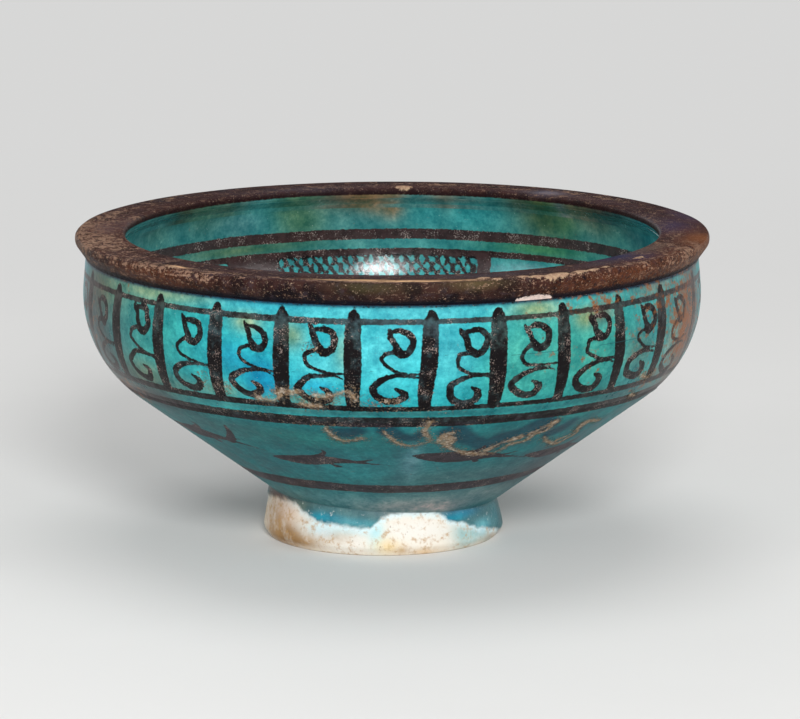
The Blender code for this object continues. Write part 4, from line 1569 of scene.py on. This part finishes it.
# %% Turquoise finish
def turquoise_finish(name, gloss, shine, bloom, wash, cover):
    """Glaze over ink, with rust, pits, cracks and crust."""
    recipe = Recipe(name)
    broad = recipe.noise(9, 5, 0.62)
    fine = recipe.noise(1.3, 5, 0.7)
    glaze = mottled_glaze(recipe, ((broad, 0.8), (recipe.noise(3.6, 5, 0.65), 0.5), (fine, 0.55)))
    blotch = recipe.plus(recipe.noise(2.4, 5, 0.7), recipe.times(recipe.number("rust"), 0.28))
    glaze = recipe.blend(recipe.rise(blotch, 0.64, 0.80, 0, 0.85), glaze, FLECK_RUST)
    fray = recipe.times(recipe.minus(recipe.noise(1.1, 4, 0.65), 0.5), 1.1)
    painted, lifted = inked(recipe, glaze, fray, wash, cover)
    painted = recipe.blend(recipe.rise(blotch, 0.70, 0.86, 0, 0.60), painted, FLECK_RUST)
    pits = recipe.rise(recipe.noise(0.6, 2, 0.5), 0.73, 0.79, 0, 0.6)
    painted = recipe.blend(pits, painted, PIT_TINT)
    crack = recipe.rise(recipe.plus(recipe.number("crack"), recipe.times(fray, 0.15)), -0.1, 0.05)
    painted = recipe.blend(recipe.times(crack, 0.75), painted, CRACK_TINT)
    crust, crust_tint = crusted(recipe, fine)
    colour = recipe.blend(crust, painted, crust_tint)
    rough = recipe.level(crust, recipe.rise(broad, 0.3, 0.8, gloss, gloss + 0.16), 0.9)
    rough = recipe.level(recipe.larger(pits, lifted), rough, 0.7)
    relief = recipe.bump(recipe.noise(2.6, 4, 0.6), 0.10)
    relief = recipe.bump(recipe.times(crust, fine), 0.5, relief)
    return recipe.pour(
        Base_Color=colour, Roughness=rough, Normal=relief, Specular_IOR_Level=shine,
        Sheen_Weight=bloom, Sheen_Roughness=BLOOM_SPREAD, Sheen_Tint=BLOOM_TINT,
    )


def wear(piece, finish):
    """Give a piece one finish in place of any it has."""
    piece.data.materials.clear()
    piece.data.materials.append(finish)


wear(frieze, turquoise_finish("turquoise_over_ink", 0.26, 0.13, 0.0, WASH_INK, 0.84))
wear(cone, turquoise_finish("dulled_turquoise", 0.38, 0.09, 0.02, PLUM_WASH, 0.90))
wear(inside, turquoise_finish("inside_turquoise_glaze", 0.14, 0.42, 0.0, BROWN_WASH, 0.96))
print("finished", frieze.name, cone.name, inside.name)

# %% [markdown]
# ## The rim's glaze and the bare stonepaste
#
# The rim's brown-black is streaked with tan along its grain and scuffed to tan where hands held it. Noise
# alone would scuff it evenly, so the kept numbers say where the wear lies and noise only frays it. Bare
# stonepaste is matt, gritty and cream, with rusty grains in it.

# %% Layers of the rim finish
RIM_DARK = (0.0070, 0.0038, 0.0050)
RIM_UNDER_SHADOW = (0.0030, 0.0036, 0.0075)
RIM_PLUM = (0.046, 0.034, 0.042)
RIM_SHEEN_TINT = (0.078, 0.044, 0.048)
LIP_SHADE_MAROON = (0.012, 0.0035, 0.0040)
RIM_RUSSET = (0.125, 0.038, 0.014)
RIM_TAN = (0.275, 0.166, 0.114)
RIM_FLECK = (0.460, 0.335, 0.225)
PAINTED_HIGHLIGHT_TINT = (0.850, 0.520, 0.280)
LUMP_TAN = (0.410, 0.285, 0.180)
CHIP_PINK = (0.70, 0.56, 0.50)
CHIP_GREY = (0.50, 0.39, 0.35)


def rim_colours(recipe, grit, cloud, patchy):
    """Brown-black with plum, a painted sheen on the flat top, the kept tones and russet, and how far the
    tones hide it.
    """
    base = recipe.blend(recipe.rise(cloud, 0.38, 0.62), RIM_DARK, RIM_BROWN)
    base = recipe.blend(recipe.rise(recipe.noise(3.4, 5, 0.68), 0.52, 0.64, 0, 0.50), base, RIM_PLUM)
    # Painted sheen: purple-grey patches on the flat top stand for light glancing off it.
    painted_sheen = recipe.rise(recipe.noise(2.6, 6, 0.7), 0.40, 0.60, 0, 0.35)
    base = recipe.blend(recipe.times(recipe.number("flat"), painted_sheen), base, RIM_SHEEN_TINT)
    toned = recipe.times(recipe.number("toned"), recipe.rise(patchy, 0.28, 0.46))
    base = recipe.blend(toned, base, recipe.colour("tone"))
    rusty = recipe.times(recipe.number("ruddy"), recipe.rise(grit, 0.36, 0.58))
    return recipe.blend(rusty, base, RIM_RUSSET), toned


def scuffed(recipe, base, streak, grit, patchy, toned):
    """Tan scuffs and pale flecks over the base, most where the rim is worn, and how far the scuffs go."""
    worn = recipe.number("worn")
    rub = recipe.times(recipe.plus(streak, grit), 0.3)
    rub = recipe.plus(rub, recipe.times(patchy, 0.4))
    rub = recipe.plus(rub, recipe.times(worn, 0.125))
    kept = recipe.minus(1.0, recipe.times(toned, 0.85))
    scuff = recipe.times(recipe.rise(rub, 0.555, 0.605), kept)
    base = recipe.blend(recipe.times(scuff, 0.85), base, RIM_TAN)
    chafed = recipe.plus(recipe.noise(0.5, 4, 0.65), recipe.times(worn, 0.07))
    flecks = recipe.rise(chafed, 0.625, 0.69, 0, 0.85)
    return recipe.blend(flecks, base, RIM_FLECK), scuff


def lip_glazed(recipe, base, cloud, ragged):
    """Maroon painted shade along the inner lip's rounding, and the inside's turquoise past it."""
    # Painted shade: maroon darkens the coat over the last two millimetres before the inner edge, where the
    # lip rounds under.
    lip = recipe.rise(recipe.plus(recipe.number("glazed"), ragged), -2.2, -0.7, 0, 0.80)
    base = recipe.blend(lip, base, LIP_SHADE_MAROON)
    past = recipe.plus(recipe.number("glazed"), recipe.times(ragged, 0.5))
    shade = recipe.blend(recipe.rise(cloud, 0.32, 0.68), DEEP_SHADE, LIGHT_SHADE)
    glaze = recipe.blend(1.0, recipe.colour("glaze"), shade, "MULTIPLY")
    return recipe.blend(recipe.rise(past, -0.2, 0.3), base, glaze)


# %% Rim finish
def rim_finish():
    """Worn brown-black with a painted highlight along its front edge, a glazed lip, lumps of crust and a
    chip.
    """
    recipe = Recipe("worn_manganese_rim")
    grain = recipe.add("ShaderNodeAttribute", attribute_name="grain").outputs["Vector"]
    streak = recipe.noise(0.42, 6, 0.68, at=grain)
    grit = recipe.noise(1.1, 6, 0.72)
    cloud = recipe.noise(6, 4, 0.6)
    patchy = recipe.noise(4.4, 6, 0.72)
    ragged = recipe.times(recipe.minus(grit, 0.5), 2.0)
    base, toned = rim_colours(recipe, grit, cloud, patchy)
    base, scuff = scuffed(recipe, base, streak, grit, patchy, toned)
    # Painted shadow: the rim's underside darkens to navy-black next to the wall.
    base = recipe.blend(recipe.times(recipe.number("under"), 0.92), base, RIM_UNDER_SHADOW)
    # Painted highlight along the front edge, in a gold colour.
    painted_highlight = recipe.times(recipe.number("painted_highlight"), recipe.rise(streak, 0.34, 0.54))
    base = recipe.blend(painted_highlight, base, PAINTED_HIGHLIGHT_TINT)
    base = lip_glazed(recipe, base, cloud, ragged)
    crust = recipe.rise(recipe.plus(recipe.number("crust"), ragged), -0.1, 0.3)
    base = recipe.blend(crust, base, recipe.blend(recipe.rise(grit, 0.40, 0.62), RIM_TAN, LUMP_TAN))
    chip = recipe.rise(recipe.plus(recipe.number("chip"), recipe.times(ragged, 1.6)), -0.1, 0.35)
    base = recipe.blend(chip, base, recipe.blend(recipe.rise(grit, 0.36, 0.60), CHIP_GREY, CHIP_PINK))
    dry = recipe.larger(recipe.larger(crust, chip), recipe.times(scuff, 0.45))
    rough = recipe.level(dry, recipe.rise(grit, 0.3, 0.7, 0.34, 0.60), 0.85)
    rough = recipe.level(painted_highlight, rough, 0.2)
    rough = recipe.level(recipe.number("flat"), rough, 1.0)
    relief = recipe.bump(grit, 0.30)
    relief = recipe.bump(streak, 0.12, relief)
    return recipe.pour(Base_Color=base, Roughness=rough, Normal=relief, Specular_IOR_Level=0.05)


wear(rim, rim_finish())
print("finished", rim.name)

# %% Stonepaste finishes
RUN_DEEP = (0.62, 0.74, 0.78)
RUN_LIGHT = (1.25, 1.15, 1.12)
PIT_BROWN = (0.22, 0.12, 0.06)


def stonepaste_finish(name):
    """Bare body under the coats."""
    recipe = Recipe(name)
    grit = recipe.noise(0.8, 5, 0.7)
    colour = recipe.blend(recipe.rise(recipe.noise(7, 4, 0.6), 0.35, 0.7), FOOT_CREAM, FOOT_WHITE)
    colour = recipe.blend(recipe.rise(grit, 0.62, 0.75, 0, 0.7), colour, FOOT_OCHRE)
    relief = recipe.bump(grit, 0.25)
    return recipe.pour(Base_Color=colour, Roughness=0.9, Normal=relief, Specular_IOR_Level=0.2)


def foot_finish():
    """Bare foot below, with glaze run down over it from the neck."""
    recipe = Recipe("washed_stonepaste_foot")
    grit = recipe.noise(0.9, 5, 0.7)
    broad = recipe.noise(4, 5, 0.65)
    fray = recipe.times(recipe.minus(recipe.noise(3.0, 5, 0.65), 0.5), 3.4)
    edge = recipe.plus(recipe.number("glazed"), fray)
    wash = recipe.rise(edge, -0.8, 0.9)
    bare = recipe.minus(1.0, wash)
    colour = recipe.colour("bare")
    colour = recipe.blend(recipe.rise(broad, 0.45, 0.70, 0, 0.4), colour, FOOT_WHITE)
    fringe = recipe.times(recipe.rise(edge, -2.6, -0.4, 0, 0.75), recipe.number("wet"))
    colour = recipe.blend(fringe, colour, FOOT_WET)
    mottle = recipe.blend(recipe.rise(broad, 0.30, 0.70), RUN_DEEP, RUN_LIGHT)
    run = recipe.blend(1.0, recipe.colour("run"), mottle, "MULTIPLY")
    colour = recipe.blend(wash, colour, run)
    dry = recipe.minus(1.0, recipe.number("wet"))
    mould = recipe.plus(recipe.noise(2.8, 6, 0.75), recipe.times(dry, 0.05))
    stains = recipe.rise(mould, 0.51, 0.66, 0, 0.72)
    colour = recipe.blend(recipe.times(stains, bare), colour, FOOT_OCHRE)
    pits = recipe.rise(recipe.noise(1.2, 3, 0.6), 0.66, 0.74, 0, 0.7)
    colour = recipe.blend(recipe.times(pits, bare), colour, PIT_BROWN)
    glints = recipe.rise(recipe.noise(1.4, 3, 0.6), 0.62, 0.74, 0, 0.45)
    colour = recipe.blend(recipe.times(glints, wash), colour, FOOT_WHITE)
    rough = recipe.level(wash, 0.88, 0.36)
    relief = recipe.bump(grit, 0.30)
    return recipe.pour(Base_Color=colour, Roughness=rough, Normal=relief, Specular_IOR_Level=0.14)


wear(foot, foot_finish())
for node in ("wall_shell", "rim_ledge"):
    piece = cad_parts[node]
    for slot in piece.material_slots:
        slot.material = stonepaste_finish(node + "_stonepaste")
    print("finished", piece.name)

# %% [markdown]
# ## Stage and light
#
# The bowl stands on a pale floor in pale air. Far from the bowl the lamps fade, so there the floor turns
# by degrees into a plain pale glow that only the camera and reflections see: it adds no light to the bowl.
# One broad soft lamp above the camera gives the glaze its long highlight, and weaker ones fill the rest.

# %% Floor and pale air
FLOOR_REACH = 12.0
FLOOR_COLOUR = (0.72, 0.72, 0.71)
PALE_AIR = (0.68, 0.68, 0.675)
GLOW_NEAR = 0.15
GLOW_FAR = 0.85
FLOOR_SPECKLE = (0.60, 0.60, 0.60)


def seen(tree):
    """A node output that is 1 for rays from the camera, a reflection or glass, and 0 for light."""
    path = tree.nodes.new("ShaderNodeLightPath")
    share = path.outputs["Is Camera Ray"]
    for name in ("Is Glossy Ray", "Is Transmission Ray"):
        larger = tree.nodes.new("ShaderNodeMath")
        larger.operation = "MAXIMUM"
        tree.links.new(share, larger.inputs[0])
        tree.links.new(path.outputs[name], larger.inputs[1])
        share = larger.outputs[0]
    return share


bpy.ops.object.select_all(action="DESELECT")
bpy.ops.mesh.primitive_plane_add(size=2 * FLOOR_REACH)
floor = bpy.context.object
floor.name = floor.data.name = "pale_floor"
floor_recipe = Recipe("pale_paper")
speckle = floor_recipe.noise(40, 3, 0.5)
shade = floor_recipe.blend(floor_recipe.rise(speckle, 0.3, 0.7, 0, 0.04), FLOOR_COLOUR, FLOOR_SPECKLE)
wear(floor, floor_recipe.pour(Base_Color=shade, Roughness=0.95, Specular_IOR_Level=0.1))
distance = floor_recipe.add("ShaderNodeVectorMath", operation="LENGTH")
floor_recipe.feed(distance.inputs[0], floor_recipe.place)
far_off = floor_recipe.rise(distance.outputs["Value"], GLOW_NEAR, GLOW_FAR)
glow = floor_recipe.add("ShaderNodeEmission")
floor_recipe.feed(glow.inputs["Color"], PALE_AIR)
join = floor_recipe.add("ShaderNodeMixShader")
floor_recipe.feed(join.inputs[0], floor_recipe.times(far_off, seen(floor_recipe.tree)))
floor_recipe.feed(join.inputs[1], floor_recipe.shader.outputs[0])
floor_recipe.feed(join.inputs[2], glow.outputs[0])
floor_recipe.feed(floor_recipe.tree.nodes["Material Output"].inputs["Surface"], join.outputs[0])
print("floor", 2 * FLOOR_REACH, "m wide")

# %% Lamps and world
LAMP_AIM = Vector((0, 0, 0.06))
LAMPS = [
    ("key_lamp", (0.18, -1.75, 0.90), 0.55, 30),
    ("catch_lamp", (0.10, -1.95, 0.50), 0.14, 4),
    ("left_fill", (-1.7, -1.0, 0.8), 1.0, 8),
    ("right_fill", (1.7, -0.8, 0.9), 1.0, 8),
    ("top_fill", (0, 0.5, 2.2), 1.6, 14),
    ("back_fill", (-0.5, 1.9, 0.9), 1.2, 8),
]
AIR_LIGHT = 0.26
for name, place, size, watts in LAMPS:
    bpy.ops.object.light_add(type="AREA", location=place)
    lamp = bpy.context.object
    lamp.name = name
    lamp.data.shape = "DISK"
    lamp.data.size = size
    lamp.data.energy = watts
    lamp.rotation_euler = (LAMP_AIM - Vector(place)).to_track_quat("-Z", "Y").to_euler()
print(len(LAMPS), "lamps")
world = bpy.data.worlds.new("studio_air")
bpy.context.scene.world = world
world.use_nodes = True
background = world.node_tree.nodes["Background"]
air = world.node_tree.nodes.new("ShaderNodeMix")
air.data_type = "RGBA"
air.inputs[6].default_value = (AIR_LIGHT, AIR_LIGHT, AIR_LIGHT, 1)
air.inputs[7].default_value = (*PALE_AIR, 1)
world.node_tree.links.new(seen(world.node_tree), air.inputs[0])
world.node_tree.links.new(air.outputs[2], background.inputs["Color"])

# %% [markdown]
# ## Attach the coats
#
# Each new coat rides on the bowl's only body and hides the solid that it covers, for which it stands.

# %% Ride and replace
STANDS_FOR = [
    (frieze, "outer_glaze", "turquoise_glaze"),
    (cone, "outer_glaze", "turquoise_glaze"),
    (rim, "rim_glaze", "rim_glaze"),
    (inside, "inner_glaze", "turquoise_glaze"),
    (foot, "foot_ring", "stonepaste"),
]
for piece, node, slot_name in STANDS_FOR:
    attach(piece, "root")
    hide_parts(node)
    print(piece.name, sum(len(face.vertices) - 2 for face in piece.data.polygons), "triangles")
